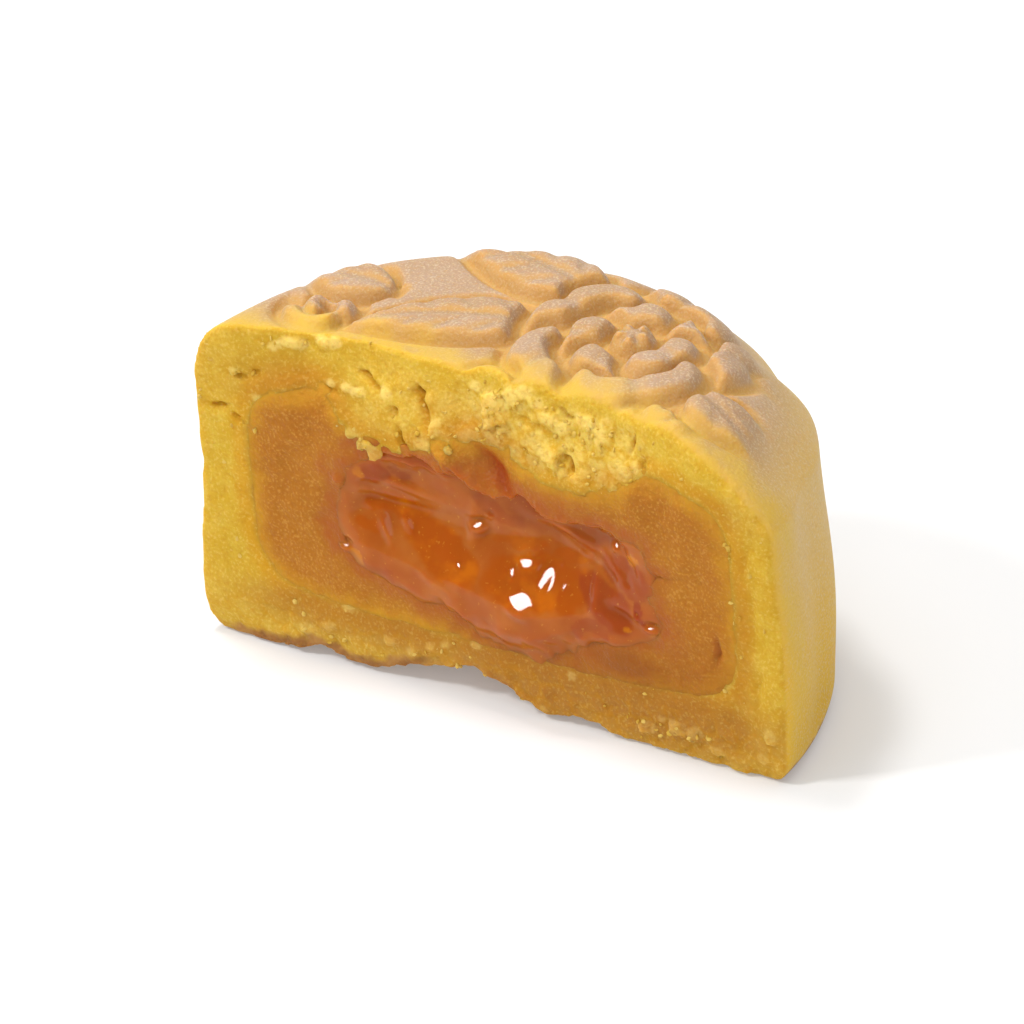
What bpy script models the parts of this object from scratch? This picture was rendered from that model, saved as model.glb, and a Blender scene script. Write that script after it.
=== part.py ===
"""Half of a moulded lava custard mooncake, broken open across its middle.

Three solids: the pastry crust with its moulded top, the custard paste inside it, and the
runny yolk lava that fills the heart of the paste and slips down the broken face.
Units are metres, +Z is up, the broken face looks towards -Y and the cake stands on its base.
"""

import math

import bmesh
import bpy
import numpy as np
from mathutils import Vector, noise

MM = 0.001

# Where things stand, metres
AXIS_Y = -13.25 * MM          # axis of the whole round cake, seen from the half cake's origin
BREAK_Y = -11.5 * MM          # the plane that the break follows
GAP = 0.3 * MM                # clearance between neighbouring solids

# The whole round cake, millimetres
TOP_HEIGHT = 25.3             # ground of the moulded top
TOP_DOME = 0.15               # extra height at the back of the top
BACK_STRETCH = 1.05           # the soft half is a little deeper than a true half circle
WALL_LEFT, WALL_RIGHT = 24.05, 24.4
SWELL_LEFT = (0.95, 4.6, 4.5)                 # how much the wall swells, at what height, how widely
SWELL_RIGHT = (0.6, 8.5, 7.0)
SHOULDER_LEFT = (19.7, 4.1, 2.0)              # start height, width, squareness
SHOULDER_RIGHT = (19.1, 8.2, 1.35)
FOOT_RADIUS = 1.6
LOBES = 10                                    # shallow scallops that the mould leaves
LOBE_DEPTH = 0.55
LOBE_TURN = math.radians(20.0)

# Moulded top: a flower among leaves and curls, millimetres from the round cake's axis
PILLOW = 0.8                  # rise of a motif's middle above its edge
GROOVE = 0.7                  # depth of the line round a motif
RELIEF_FADE = (19.5, 22.8)    # the pattern fades out between these radii
FLOWERS = [                   # centre, boss radius, [(petals, reach, half width, turn in degrees)]
    ((1.6, -3.4), 1.6, [(6, 8.4, 3.7, 30.0)]),
    ((6.8, 11.6), 1.7, [(5, 8.8, 4.7, 18.0), (5, 5.2, 2.9, 54.0)]),
]
LEAVES = [                    # base, heading in degrees, length, half width, bend
    ((1.0, 10.6), 184.0, 14.6, 3.0, 0.020),
    ((1.4, 15.6), 158.0, 14.6, 3.2, 0.012),
    ((-12.6, 10.6), 184.0, 8.0, 2.4, -0.010),
    ((14.6, 8.0), -28.0, 7.6, 2.6, 0.030),
    ((13.6, 15.6), 8.0, 6.4, 2.0, -0.050),
]
SCROLLS = [                   # centre, outer radius, start in degrees
    ((-15.4, 4.6), 2.6, 190.0),
    ((12.4, 3.4), 2.7, 250.0),
    ((-7.0, 3.4), 2.6, 60.0),
]

# Paste, millimetres on the broken face
PASTE_LEFT, PASTE_RIGHT = -19.5, 20.8
PASTE_LOW, PASTE_HIGH = 4.8, 21.4
PASTE_SQUARENESS = 5.5

# Lava, millimetres on the broken face
LAVA_MIDDLE = (1.2, 11.6)
LAVA_OUTLINE = [
    (-12.2, 10.0), (-11.8, 14.0), (-11.2, 16.6), (-9.0, 18.0), (-5.0, 18.2), (-2.0, 17.7),
    (0.5, 17.1), (3.0, 17.0), (6.0, 16.6), (9.0, 16.2), (11.5, 16.6), (13.9, 15.6),
    (14.0, 12.6), (15.2, 10.2), (13.6, 8.4), (10.0, 7.4), (8.0, 6.8), (6.4, 5.5), (5.0, 4.9),
    (3.0, 4.7), (1.0, 4.9), (-1.0, 5.7), (-3.0, 6.5), (-6.0, 7.0), (-9.0, 7.6), (-11.2, 8.8),
]
LAVA_DEPTH = 7.5
LIP_BULGE = 1.0               # how far the lower lip stands out of the face
UPPER_SINK = 1.1              # how far the upper pool lies behind it

# Edge of the torn foot: how far it stands off the table, across and up, millimetres
FOOT_EDGE = [
    (-26.0, 0.0), (-19.0, 0.0), (-16.5, 0.4), (-15.0, 1.0), (-12.0, 0.2), (-10.0, 0.3), (-8.0, 1.1),
    (-5.0, 1.6), (-2.0, 2.5), (-1.0, 2.1), (2.0, 1.3), (4.5, 0.4), (7.0, 0.8), (9.0, 0.5),
    (12.0, 0.0), (15.0, 0.2), (18.0, 0.0), (26.0, 0.0),
]
FOOT_UNDERCUT = 4.5

COLOURS = {
    "crust": ((0.68, 0.42, 0.11), 0.55),
    "custard": ((0.55, 0.26, 0.045), 0.6),
    "lava": ((0.62, 0.17, 0.01), 0.12),
}


def clear_scene():
    for old in list(bpy.data.objects):
        bpy.data.objects.remove(old, do_unlink=True)


def new_collection(name, hidden=False):
    group = bpy.data.collections.new(name)
    bpy.context.scene.collection.children.link(group)
    group.hide_render = hidden
    return group


def finish_material(name):
    colour, roughness = COLOURS[name]
    material = bpy.data.materials.new(name)
    material.use_nodes = True
    shader = material.node_tree.nodes["Principled BSDF"]
    shader.inputs["Base Color"].default_value = (*colour, 1.0)
    shader.inputs["Roughness"].default_value = roughness
    shader.inputs["Metallic"].default_value = 0.0
    return material


def smooth(low, high, value):
    share = np.clip((value - low) / (high - low), 0.0, 1.0)
    return share * share * (3.0 - 2.0 * share)


def bell(value, centre, width):
    return np.exp(-(((value - centre) / width) ** 2))


def lumps(points, size, seed):
    """Smooth noise from -1 to 1 at points in millimetres, with lumps of the given size."""
    shift = Vector((seed * 7.3, seed * 3.1, seed * 5.7))
    return np.array([noise.noise(Vector(p) / size + shift) for p in points])


def points_of(mesh):
    points = np.empty(len(mesh.vertices) * 3)
    mesh.vertices.foreach_get("co", points)
    return points.reshape(-1, 3)


def move_points(mesh, points):
    mesh.vertices.foreach_set("co", points.ravel())
    mesh.update()


def stamp(height, inside, body):
    """Presses one motif on the ground so far: inside is the distance in from its edge."""
    cover = smooth(-0.6, 0.3, inside)
    pillow = PILLOW * smooth(-0.3, 2.2, inside)
    height = height * (1.0 - cover) + (pillow + body) * cover
    line = bell(inside, -0.3, 0.6)
    return height * (1.0 - line) - GROOVE * line


def petal(dx, dy, turn, reach, half_width):
    """Distance in from a round-ended petal's edge, and the crease down its middle."""
    along = dx * math.cos(turn) + dy * math.sin(turn)
    across = -dx * math.sin(turn) + dy * math.cos(turn)
    wide = np.hypot((along - reach * 0.62) / (reach * 0.40), across / half_width)
    inside = (1.0 - wide) * min(half_width, reach * 0.40)
    stalk = np.minimum(half_width * 0.45 - np.abs(across), np.minimum(along, reach * 0.7 - along))
    inside = np.maximum(inside, stalk) - 0.8 * bell(across, 0.0, 0.9) * smooth(0.8, 1.0, along / reach)
    crease = -0.3 * bell(across, 0.0, 0.6) * smooth(0.25, 0.5, along / reach)
    return inside, crease


def press_flower(height, x, y, centre, boss, rings):
    dx, dy = x - centre[0], y - centre[1]
    for count, reach, half_width, turn in rings:
        for k in range(count):
            angle = math.radians(turn) + 2.0 * math.pi * k / count
            inside, crease = petal(dx, dy, angle, reach, half_width)
            height = stamp(height, inside, crease)
    out = np.hypot(dx, dy)
    seeds = 0.3 * bell(out, boss * 0.6, 0.5) * np.cos(5.0 * np.arctan2(dy, dx))
    return stamp(height, boss - out, seeds)


def press_leaf(height, x, y, base, heading, length, half_width, bend):
    """A bent leaf with a midrib groove and slanting side veins."""
    angle = math.radians(heading)
    dx, dy = x - base[0], y - base[1]
    along = dx * math.cos(angle) + dy * math.sin(angle)
    across = -dx * math.sin(angle) + dy * math.cos(angle) - bend * np.clip(along, 0.0, length) ** 2
    share = np.clip(along / length, 0.0, 1.0)
    width = half_width * np.sin(math.pi * share**0.8) ** 0.85
    inside = np.minimum(width - np.abs(across), np.minimum(along, length - along))
    midrib = bell(across, 0.0, 0.55)
    veins = (0.5 + 0.5 * np.cos(2.0 * math.pi * (along - 0.9 * np.abs(across)) / 2.9)) ** 2
    veins = veins * smooth(0.4, 1.0, np.abs(across)) * smooth(0.0, 1.0, inside)
    return stamp(height, inside, -0.45 * midrib - 0.32 * veins)


def press_scroll(height, x, y, centre, radius, start):
    """A round cord wound once and a quarter into a curl."""
    dx, dy = x - centre[0], y - centre[1]
    out = np.hypot(dx, dy)
    turned = np.mod(np.arctan2(dy, dx) - math.radians(start), 2.0 * math.pi)
    inside = np.full_like(x, -9.0)
    length = 5.0 * radius
    for lap in (-1, 0, 1):
        along = (turned + 2.0 * math.pi * lap) / (2.0 * math.pi * 1.25)
        path = radius * (1.0 - 0.75 * along)
        ends = np.minimum(along, 1.0 - along) * length
        inside = np.maximum(inside, np.minimum(0.85 - np.abs(out - path), ends))
    return stamp(height, inside, 0.0)


def relief(x, y):
    """Height of the moulded pattern in millimetres, x and y from the round cake's axis."""
    height = np.zeros_like(x)
    for scroll in SCROLLS:
        height = press_scroll(height, x, y, *scroll)
    for leaf in LEAVES:
        height = press_leaf(height, x, y, *leaf)
    for flower in FLOWERS:
        height = press_flower(height, x, y, *flower)
    return height * smooth(RELIEF_FADE[1], RELIEF_FADE[0], np.hypot(x, y))


def side_radius(height, angle):
    """Radius of the plain side wall in millimetres. The right shoulder is the rounder one."""
    radii = []
    for wall, swell, shoulder in (
        (WALL_LEFT, SWELL_LEFT, SHOULDER_LEFT),
        (WALL_RIGHT, SWELL_RIGHT, SHOULDER_RIGHT),
    ):
        start, width, squareness = shoulder
        rise = np.clip((height - start) / (TOP_HEIGHT - start), 0.0, 1.0)
        pull = width * (1.0 - (1.0 - rise**squareness) ** (1.0 / squareness))
        low = np.clip(1.0 - height / FOOT_RADIUS, 0.0, 1.0)
        foot = FOOT_RADIUS * (1.0 - np.sqrt(1.0 - 0.8 * low**2))
        radii.append(wall + swell[0] * bell(height, swell[1], swell[2]) - pull - foot)
    share = (1.0 + np.cos(angle)) / 2.0
    share = share * share * (3.0 - 2.0 * share)
    return radii[0] * (1.0 - share) + radii[1] * share


def turned_mesh(name, profile, steps):
    """Turns (radius, height) pairs, given from the top down, into a closed mesh."""
    mesh = bpy.data.meshes.new(name)
    edges = [(i, i + 1) for i in range(len(profile) - 1)]
    mesh.from_pydata([(r, 0.0, z) for r, z in profile], edges, [])
    spun = bpy.data.objects.new(name, mesh)
    bpy.context.scene.collection.objects.link(spun)
    screw = spun.modifiers.new("turn", "SCREW")
    screw.axis = "Z"
    screw.angle = 2.0 * math.pi
    screw.steps = screw.render_steps = steps
    screw.use_merge_vertices = True
    screw.merge_threshold = 1e-6
    bpy.context.view_layer.update()
    graph = bpy.context.evaluated_depsgraph_get()
    turned = bpy.data.meshes.new_from_object(spun.evaluated_get(graph))
    bpy.data.objects.remove(spun, do_unlink=True)
    turned.name = name
    return turned


def cake_profile():
    """Centre of the top, out over the shoulder, down the wall and in to the base's centre."""
    heights = np.concatenate([
        TOP_HEIGHT - 0.02 - (TOP_HEIGHT - 19.4) * np.linspace(0.0, 1.0, 22) ** 1.6,
        np.linspace(19.4, 3.0, 13)[1:],
        np.linspace(3.0, 0.0, 7)[1:],
    ])
    radii = side_radius(heights, 0.0)
    rim = radii[0]
    rings = 26
    flat = [(rim * k / rings * MM, TOP_HEIGHT * MM) for k in range(rings)]
    wall = [(r * MM, h * MM) for r, h in zip(radii, heights)]
    return flat + wall + [(16.0 * MM, 0.0), (8.0 * MM, 0.0), (0.0, 0.0)]


def cake_mesh():
    """The whole round cake's skin: plain turned body, then scallops, sag and moulded top."""
    mesh = turned_mesh("cake", cake_profile(), 220)
    points = points_of(mesh)
    angle = np.arctan2(points[:, 1], points[:, 0])
    out = np.hypot(points[:, 0], points[:, 1]) / MM
    height = points[:, 2] / MM
    right = side_radius(height, 0.0)
    outer = smooth(0.0, 1.0, out / right)
    stretch = 1.0 + (side_radius(height, angle) / right - 1.0) * outer
    valley = (0.5 + 0.5 * np.cos(LOBES * (angle - LOBE_TURN))) ** 3
    flank = smooth(24.6, 21.0, height) * smooth(0.2, 3.0, height)
    sag = 0.25 * lumps(points / MM, 9.0, 4) * smooth(0.5, 4.0, height)
    stretch += (sag - LOBE_DEPTH * valley * flank) / 25.0 * smooth(0.8, 1.0, out / right)
    points[:, :2] *= stretch[:, None]
    upper = smooth(21.5, 24.0, height)
    rise = 0.25 * lumps(points / MM, 12.0, 6) * upper
    rise += relief(points[:, 0] / MM, points[:, 1] / MM) * upper
    rise += TOP_DOME * smooth(0.0, 14.0, points[:, 1] / MM) * upper
    points[:, 2] += rise * MM
    points[:, 1] = np.where(points[:, 1] > 0.0, BACK_STRETCH, 1.0) * points[:, 1] + AXIS_Y
    move_points(mesh, points)
    return mesh


def paste_inside(x, z):
    """Distance in millimetres in from the paste's edge on the broken face."""
    middle_x, middle_z = (PASTE_LEFT + PASTE_RIGHT) / 2.0, (PASTE_LOW + PASTE_HIGH) / 2.0
    half_x, half_z = (PASTE_RIGHT - PASTE_LEFT) / 2.0, (PASTE_HIGH - PASTE_LOW) / 2.0
    sides = np.abs((x - middle_x) / half_x) ** PASTE_SQUARENESS
    ends = np.abs((z - middle_z) / half_z) ** PASTE_SQUARENESS
    return (1.0 - (sides + ends) ** (1.0 / PASTE_SQUARENESS)) * half_z


def break_depth(x, z):
    """How far behind BREAK_Y the broken face lies, in millimetres, at x across and z up."""
    torn_top = 1.9 * smooth(19.0, 25.5, z) * smooth(-21.0, -13.0, x) * smooth(20.0, 10.0, x)
    ledge = 0.5 * smooth(-0.05, 0.05, lumps(np.column_stack([x, 0.0 * x, z]), 5.0, 3)) * torn_top
    edge = np.interp(x, *np.array(FOOT_EDGE).T)
    under = FOOT_UNDERCUT * np.clip((edge - z) / np.maximum(edge, 0.05), 0.0, 1.2) ** 0.8
    under = under * smooth(0.1, 0.8, edge)
    hollow = 0.5 * bell(x, 1.0, 13.0) * bell(z, 12.0, 7.0) + 1.4 * bell(x, 1.5, 1.5) * bell(z, 19.6, 1.6)
    points = np.column_stack([x, np.zeros_like(x), z])
    rough = 0.3 * lumps(points, 3.4, 1) + 0.2 * lumps(points, 1.7, 2)
    in_crust = 1.0 - smooth(0.0, 1.5, paste_inside(x, z))
    return torn_top + ledge + under + hollow + rough * (0.35 + 0.9 * in_crust)


def cutter_object(name, bm, group):
    mesh = bpy.data.meshes.new(name)
    bm.to_mesh(mesh)
    bm.free()
    cutter = bpy.data.objects.new(name, mesh)
    group.objects.link(cutter)
    cutter.hide_render = True
    cutter.display_type = "WIRE"
    return cutter


def cutter_for_break(group):
    """A block whose back is the broken face, made from a grid drawn out towards -Y."""
    rows = np.concatenate([
        [-3.0, -0.4], np.linspace(0.15, 3.6, 7), np.linspace(4.8, 18.0, 10),
        np.linspace(19.0, 26.2, 8), [29.0],
    ])
    columns = np.linspace(-28.0, 28.0, 43)
    bm = bmesh.new()
    bmesh.ops.create_grid(bm, x_segments=len(columns) - 1, y_segments=len(rows) - 1, size=1.0)
    share_x = np.array([v.co.x for v in bm.verts]) / 2.0 + 0.5
    share_z = np.array([v.co.y for v in bm.verts]) / 2.0 + 0.5
    across = np.interp(share_x, np.linspace(0.0, 1.0, len(columns)), columns)
    up = np.interp(share_z, np.linspace(0.0, 1.0, len(rows)), rows)
    deep = break_depth(across, up)
    for vert, x, z, d in zip(bm.verts, across, up, deep):
        vert.co = (x * MM, BREAK_Y + d * MM, z * MM)
    drawn = bmesh.ops.extrude_face_region(bm, geom=bm.faces[:])
    for item in drawn["geom"]:
        if isinstance(item, bmesh.types.BMVert):
            item.co.y = BREAK_Y - 30.0 * MM
    bmesh.ops.recalc_face_normals(bm, faces=bm.faces[:])
    return cutter_object("broken_face", bm, group)


def warped_sphere(shape, rows, columns):
    """A UV sphere whose points a function moves: it gets each point's unit direction."""
    bm = bmesh.new()
    bmesh.ops.create_uvsphere(bm, u_segments=columns, v_segments=rows, radius=1.0)
    directions = np.array([v.co[:] for v in bm.verts])
    for vert, place in zip(bm.verts, shape(directions)):
        vert.co = place * MM
    if bm.calc_volume(signed=True) < 0.0:
        bmesh.ops.reverse_faces(bm, faces=bm.faces[:])
    return bm


def paste_shape(grow):
    """Moves a unit sphere to the paste's round-cornered drum, grown by some millimetres."""
    middle_x, middle_z = (PASTE_LEFT + PASTE_RIGHT) / 2.0, (PASTE_LOW + PASTE_HIGH) / 2.0
    radius = (PASTE_RIGHT - PASTE_LEFT) / 2.0 + grow
    half_z = (PASTE_HIGH - PASTE_LOW) / 2.0 + grow

    def shape(directions):
        flat = np.hypot(directions[:, 0], directions[:, 1])
        high = np.abs(directions[:, 2])
        corner = flat**PASTE_SQUARENESS + high**PASTE_SQUARENESS
        places = directions * (corner ** (-1.0 / PASTE_SQUARENESS))[:, None]
        return places * (radius, radius * BACK_STRETCH, half_z) + (middle_x, AXIS_Y / MM, middle_z)

    return shape


def lava_reach(angle):
    """Distance from the middle of the pool to its edge, rounded off between the outline's points."""
    points = np.array(LAVA_OUTLINE) - LAVA_MIDDLE
    at = np.mod(np.arctan2(points[:, 1], points[:, 0]), 2.0 * math.pi)
    order = np.argsort(at)
    reach = np.hypot(points[:, 0], points[:, 1])
    total = np.zeros_like(angle)
    for turn in np.radians([-9.0, -4.5, 0.0, 4.5, 9.0]):
        total += np.interp(np.mod(angle + turn, 2.0 * math.pi), at[order], reach[order], period=2.0 * math.pi)
    return total / 5.0


def lava_front(x, z):
    """How far the pool's surface stands out of BREAK_Y, in millimetres. Below zero is behind."""
    lip = LIP_BULGE * bell(z, 7.0, 3.6)
    return lip - UPPER_SINK * smooth(9.0, 16.0, z)


def lava_shape(grow, open_ahead=0.0):
    """Moves a unit sphere, turned so that a pole faces the break, to the pool of lava."""

    def shape(directions):
        across, up, back = directions.T
        angle = np.arctan2(up, across)
        spread = np.hypot(across, up)
        reach = (lava_reach(angle) + grow) * spread
        x = LAVA_MIDDLE[0] + reach * np.cos(angle)
        z = LAVA_MIDDLE[1] + reach * np.sin(angle)
        front = lava_front(x, z)
        rim = 1.6
        ahead = (front + rim + grow) * np.clip(1.0 - spread**6, 0.0, 1.0) ** 0.5
        ahead = np.maximum(ahead, open_ahead * smooth(1.0, 0.93, spread))
        behind = (LAVA_DEPTH - rim + grow) * (1.0 - spread**2.5) * (1.0 - 0.6 * smooth(9.0, 5.0, z))
        y = np.where(back < 0.0, rim - ahead, rim + behind)
        return np.column_stack([x, BREAK_Y / MM + y, z])

    return shape


def cut_with(solid, cutter, name):
    cut = solid.modifiers.new(name, "BOOLEAN")
    cut.operation = "DIFFERENCE"
    cut.solver = "EXACT"
    cut.object = cutter


def solid_object(name, mesh, group):
    solid = bpy.data.objects.new(name, mesh)
    group.objects.link(solid)
    mesh.materials.clear()
    mesh.materials.append(finish_material(name))
    return solid


def mesh_from(name, bm):
    mesh = bpy.data.meshes.new(name)
    bm.to_mesh(mesh)
    bm.free()
    return mesh


def main():
    clear_scene()
    cake = new_collection("lava_mooncake")
    tools = new_collection("cutters", hidden=True)
    clearance = GAP / MM
    broken_face = cutter_for_break(tools)
    hollow = cutter_object("paste_room", warped_sphere(paste_shape(clearance), 22, 52), tools)
    pool = cutter_object("lava_room", warped_sphere(lava_shape(clearance, 4.5), 18, 48), tools)

    crust = solid_object("crust", cake_mesh(), cake)
    thin = crust.modifiers.new("fewer_faces", "DECIMATE")
    thin.ratio = 0.43
    cut_with(crust, hollow, "room_for_paste")
    cut_with(crust, broken_face, "break_open")
    cut_with(crust, pool, "room_for_drip")

    paste = mesh_from("custard", warped_sphere(paste_shape(0.0), 22, 52))
    custard = solid_object("custard", paste, cake)
    cut_with(custard, broken_face, "break_open")
    cut_with(custard, pool, "room_for_lava")

    solid_object("lava", mesh_from("lava", warped_sphere(lava_shape(0.0), 18, 48)), cake)


main()
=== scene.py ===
import math
import time

import bmesh
import bpy
import numpy as np
from mathutils import Matrix, Vector


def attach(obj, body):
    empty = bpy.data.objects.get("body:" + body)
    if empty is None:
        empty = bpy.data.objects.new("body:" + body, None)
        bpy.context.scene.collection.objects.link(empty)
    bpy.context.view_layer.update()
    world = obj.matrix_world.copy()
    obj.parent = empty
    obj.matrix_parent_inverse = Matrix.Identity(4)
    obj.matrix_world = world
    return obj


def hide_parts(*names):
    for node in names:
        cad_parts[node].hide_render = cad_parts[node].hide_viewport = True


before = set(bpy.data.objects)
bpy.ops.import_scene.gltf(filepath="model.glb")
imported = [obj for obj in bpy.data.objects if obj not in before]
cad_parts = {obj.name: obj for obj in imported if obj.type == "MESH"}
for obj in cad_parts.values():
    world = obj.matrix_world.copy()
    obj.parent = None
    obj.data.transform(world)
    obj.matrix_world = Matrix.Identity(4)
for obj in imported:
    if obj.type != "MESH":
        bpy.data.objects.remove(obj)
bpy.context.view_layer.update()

startTime = time.time()

# lengths are in millimetres until a mesh is written
mm = 0.001
axisY = -13.25  # middle of the whole round cake
breakY = -11.5  # the broken face


def smooth(low, high, value):
    share = np.clip((value - low) / (high - low), 0.0, 1.0)
    return share * share * (3.0 - 2.0 * share)


def bell(value, centre, width):
    return np.exp(-(((value - centre) / width) ** 2))


# where a point lies along and across a line turned by the given angle
def turned(dx, dy, turn):
    along = dx * math.cos(turn) + dy * math.sin(turn)
    return along, dy * math.cos(turn) - dx * math.sin(turn)


latticeSize = 32
latticeSlopes = np.random.default_rng(7).normal(size=(latticeSize ** 3, 3)).astype(np.float32)
latticeSlopes /= np.linalg.norm(latticeSlopes, axis=1, keepdims=True)


# gradient noise, about -1 to 1, with lumps of the given size
def lumps(x, y, z, size, seed):
    shape = np.broadcast(x, y, z).shape
    place = [np.broadcast_to(v, shape).ravel().astype(np.float32) / size for v in (x, y, z)]
    place = [v + np.float32(seed * k) for v, k in zip(place, (7.31, 3.17, 5.73))]
    cell = [np.floor(v) for v in place]
    part = [v - c for v, c in zip(place, cell)]
    cell = [c.astype(np.int64) for c in cell]
    fade = [v * v * v * (v * (v * 6.0 - 15.0) + 10.0) for v in part]
    total = np.zeros(part[0].shape, np.float32)
    for corner in range(8):
        step = [(corner >> k) & 1 for k in range(3)]
        at = [(c + s) % latticeSize for c, s in zip(cell, step)]
        slope = latticeSlopes[(at[0] * latticeSize + at[1]) * latticeSize + at[2]]
        height = sum(slope[:, k] * (part[k] - step[k]) for k in range(3))
        weight = 1.0
        for k in range(3):
            weight = weight * (fade[k] if step[k] else 1.0 - fade[k])
        total += weight * height
    return (total * 1.6).reshape(shape)


# the moulded pattern: two flowers among leaves and curls

pattern = {
    "pillow": 0.8, "groove": 0.7,  # height of the motifs, depth of the lines round them
    "rimFade": (22.8, 19.5), "breakFade": (2.0, 6.0),
    "flowers": [  # centre, boss, rings of petals: count, reach, half width, turn
        ((1.6, -3.4), 1.6, [(6, 8.4, 3.7, 30.0)]),
        ((6.8, 11.6), 1.7, [(5, 8.8, 4.7, 18.0), (5, 5.2, 2.9, 54.0)]),
    ],
    "leaves": [  # base, heading, length, half width, bend
        ((1.0, 10.6), 184.0, 14.6, 3.0, 0.020),
        ((1.4, 15.6), 158.0, 14.6, 3.2, 0.012),
        ((-12.6, 10.6), 184.0, 8.0, 2.4, -0.010),
        ((14.6, 8.0), -28.0, 7.6, 2.6, 0.030),
        ((13.6, 15.6), 8.0, 6.4, 2.0, -0.050),
    ],
    "scrolls": [  # centre, radius, start
        ((-15.6, 6.4), 2.3, 190.0),
        ((14.6, 4.8), 2.3, 250.0),
    ],
}


def stamp(height, inside, body):
    cover = smooth(-0.5, 0.2, inside)
    pillow = pattern["pillow"] * (0.7 * smooth(-0.3, 0.8, inside) + 0.3 * smooth(0.0, 2.6, inside))
    height = height * (1.0 - cover) + (pillow + body) * cover
    line = bell(inside, -0.3, 0.45)
    return height * (1.0 - line) - pattern["groove"] * line


def petal(dx, dy, turn, reach, halfWidth):
    along, across = turned(dx, dy, turn)
    wide = np.hypot((along - reach * 0.62) / (reach * 0.40), across / halfWidth)
    inside = (1.0 - wide) * min(halfWidth, reach * 0.40)
    stalk = np.minimum(halfWidth * 0.45 - np.abs(across), np.minimum(along, reach * 0.7 - along))
    inside = np.maximum(inside, stalk) - 0.8 * bell(across, 0.0, 0.9) * smooth(0.8, 1.0, along / reach)
    crease = -0.3 * bell(across, 0.0, 0.6) * smooth(0.25, 0.5, along / reach)
    return inside, crease


def pressFlower(height, x, y, centre, boss, rings):
    dx, dy = x - centre[0], y - centre[1]
    for count, reach, halfWidth, turn in rings:
        for k in range(count):
            angle = math.radians(turn) + 2.0 * math.pi * k / count
            inside, crease = petal(dx, dy, angle, reach, halfWidth)
            height = stamp(height, inside, crease)
    out = np.hypot(dx, dy)
    seeds = 0.3 * bell(out, boss * 0.6, 0.5) * np.cos(5.0 * np.arctan2(dy, dx))
    return stamp(height, boss - out, seeds)


def pressLeaf(height, x, y, base, heading, length, halfWidth, bend):
    along, across = turned(x - base[0], y - base[1], math.radians(heading))
    across = across - bend * np.clip(along, 0.0, length) ** 2
    share = np.clip(along / length, 0.0, 1.0)
    width = halfWidth * np.clip(np.sin(math.pi * share**0.8), 0.0, 1.0) ** 0.85
    inside = np.minimum(width - np.abs(across), np.minimum(along, length - along))
    midrib = bell(across, 0.0, 0.55)
    veins = (0.5 + 0.5 * np.cos(2.0 * math.pi * (along - 0.9 * np.abs(across)) / 2.9)) ** 2
    veins = veins * smooth(0.4, 1.0, np.abs(across)) * smooth(0.0, 1.0, inside)
    return stamp(height, inside, -0.42 * midrib - 0.22 * veins)


def pressScroll(height, x, y, centre, radius, start):
    dx, dy = x - centre[0], y - centre[1]
    out = np.hypot(dx, dy)
    sweep = np.mod(np.arctan2(dy, dx) - math.radians(start), 2.0 * math.pi)
    inside = np.full_like(x, -9.0)
    for lap in (-1, 0, 1):
        along = (sweep + 2.0 * math.pi * lap) / (2.0 * math.pi * 1.25)
        path = radius * (1.0 - 0.75 * along)
        ends = np.minimum(along, 1.0 - along) * 5.0 * radius
        inside = np.maximum(inside, np.minimum(0.85 - np.abs(out - path), ends))
    return stamp(height, inside, 0.0)


def relief(x, y):
    x, y = np.broadcast_arrays(x, y)
    height = np.zeros_like(x)
    for scroll in pattern["scrolls"]:
        height = pressScroll(height, x, y, *scroll)
    for leaf in pattern["leaves"]:
        height = pressLeaf(height, x, y, *leaf)
    for flower in pattern["flowers"]:
        height = pressFlower(height, x, y, *flower)
    height = height * (0.06 + 0.94 * smooth(*pattern["breakFade"], y))
    return height * smooth(*pattern["rimFade"], np.hypot(x, y))


# signed distances, positive inside, in millimetres

cake = {
    "top": 25.3, "dome": 0.15, "backStretch": 1.05,
    "wallLeft": 24.05, "wallRight": 24.4,
    "swellLeft": (0.95, 4.6, 4.5), "swellRight": (0.6, 8.5, 7.0),  # how far out, how high, spread
    # the shoulders: from what height, how far in, how square
    "shoulderLeft": (19.7, 4.1, 2.0), "shoulderRight": (19.1, 8.2, 1.35),
    "footRadius": 1.6,
    "lobes": 10, "lobeDepth": 0.55, "lobeTurn": math.radians(20.0),
    "edge": (0.25, 0.9),  # how round the break's edge is everywhere, and how much more at the right
    "box": ((-25.6, breakY - 1.3, -0.5), (25.6, 13.2, 26.9)), "step": 0.232, "thinned": 0.3,
}


def wallRadius(height, wall, swell, shoulder):
    start, width, squareness = shoulder
    rise = np.clip((height - start) / (cake["top"] - start), 0.0, 1.0)
    pull = width * (1.0 - (1.0 - rise**squareness) ** (1.0 / squareness))
    low = np.clip(1.0 - height / cake["footRadius"], 0.0, 1.0)
    foot = cake["footRadius"] * (1.0 - np.sqrt(1.0 - 0.8 * low**2))
    return wall + swell[0] * bell(height, swell[1], swell[2]) - pull - foot


tableHeights = np.concatenate([np.linspace(0.0, 25.0, 501), np.linspace(25.0, cake["top"], 61)[1:]])
leftTable = wallRadius(tableHeights, cake["wallLeft"], cake["swellLeft"], cake["shoulderLeft"])
rightTable = wallRadius(tableHeights, cake["wallRight"], cake["swellRight"], cake["shoulderRight"])


# between the left outline and the right one
def wallAt(height, share):
    left, right = (np.interp(height, tableHeights, table) for table in (leftTable, rightTable))
    return left * (1.0 - share) + right * share


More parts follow.
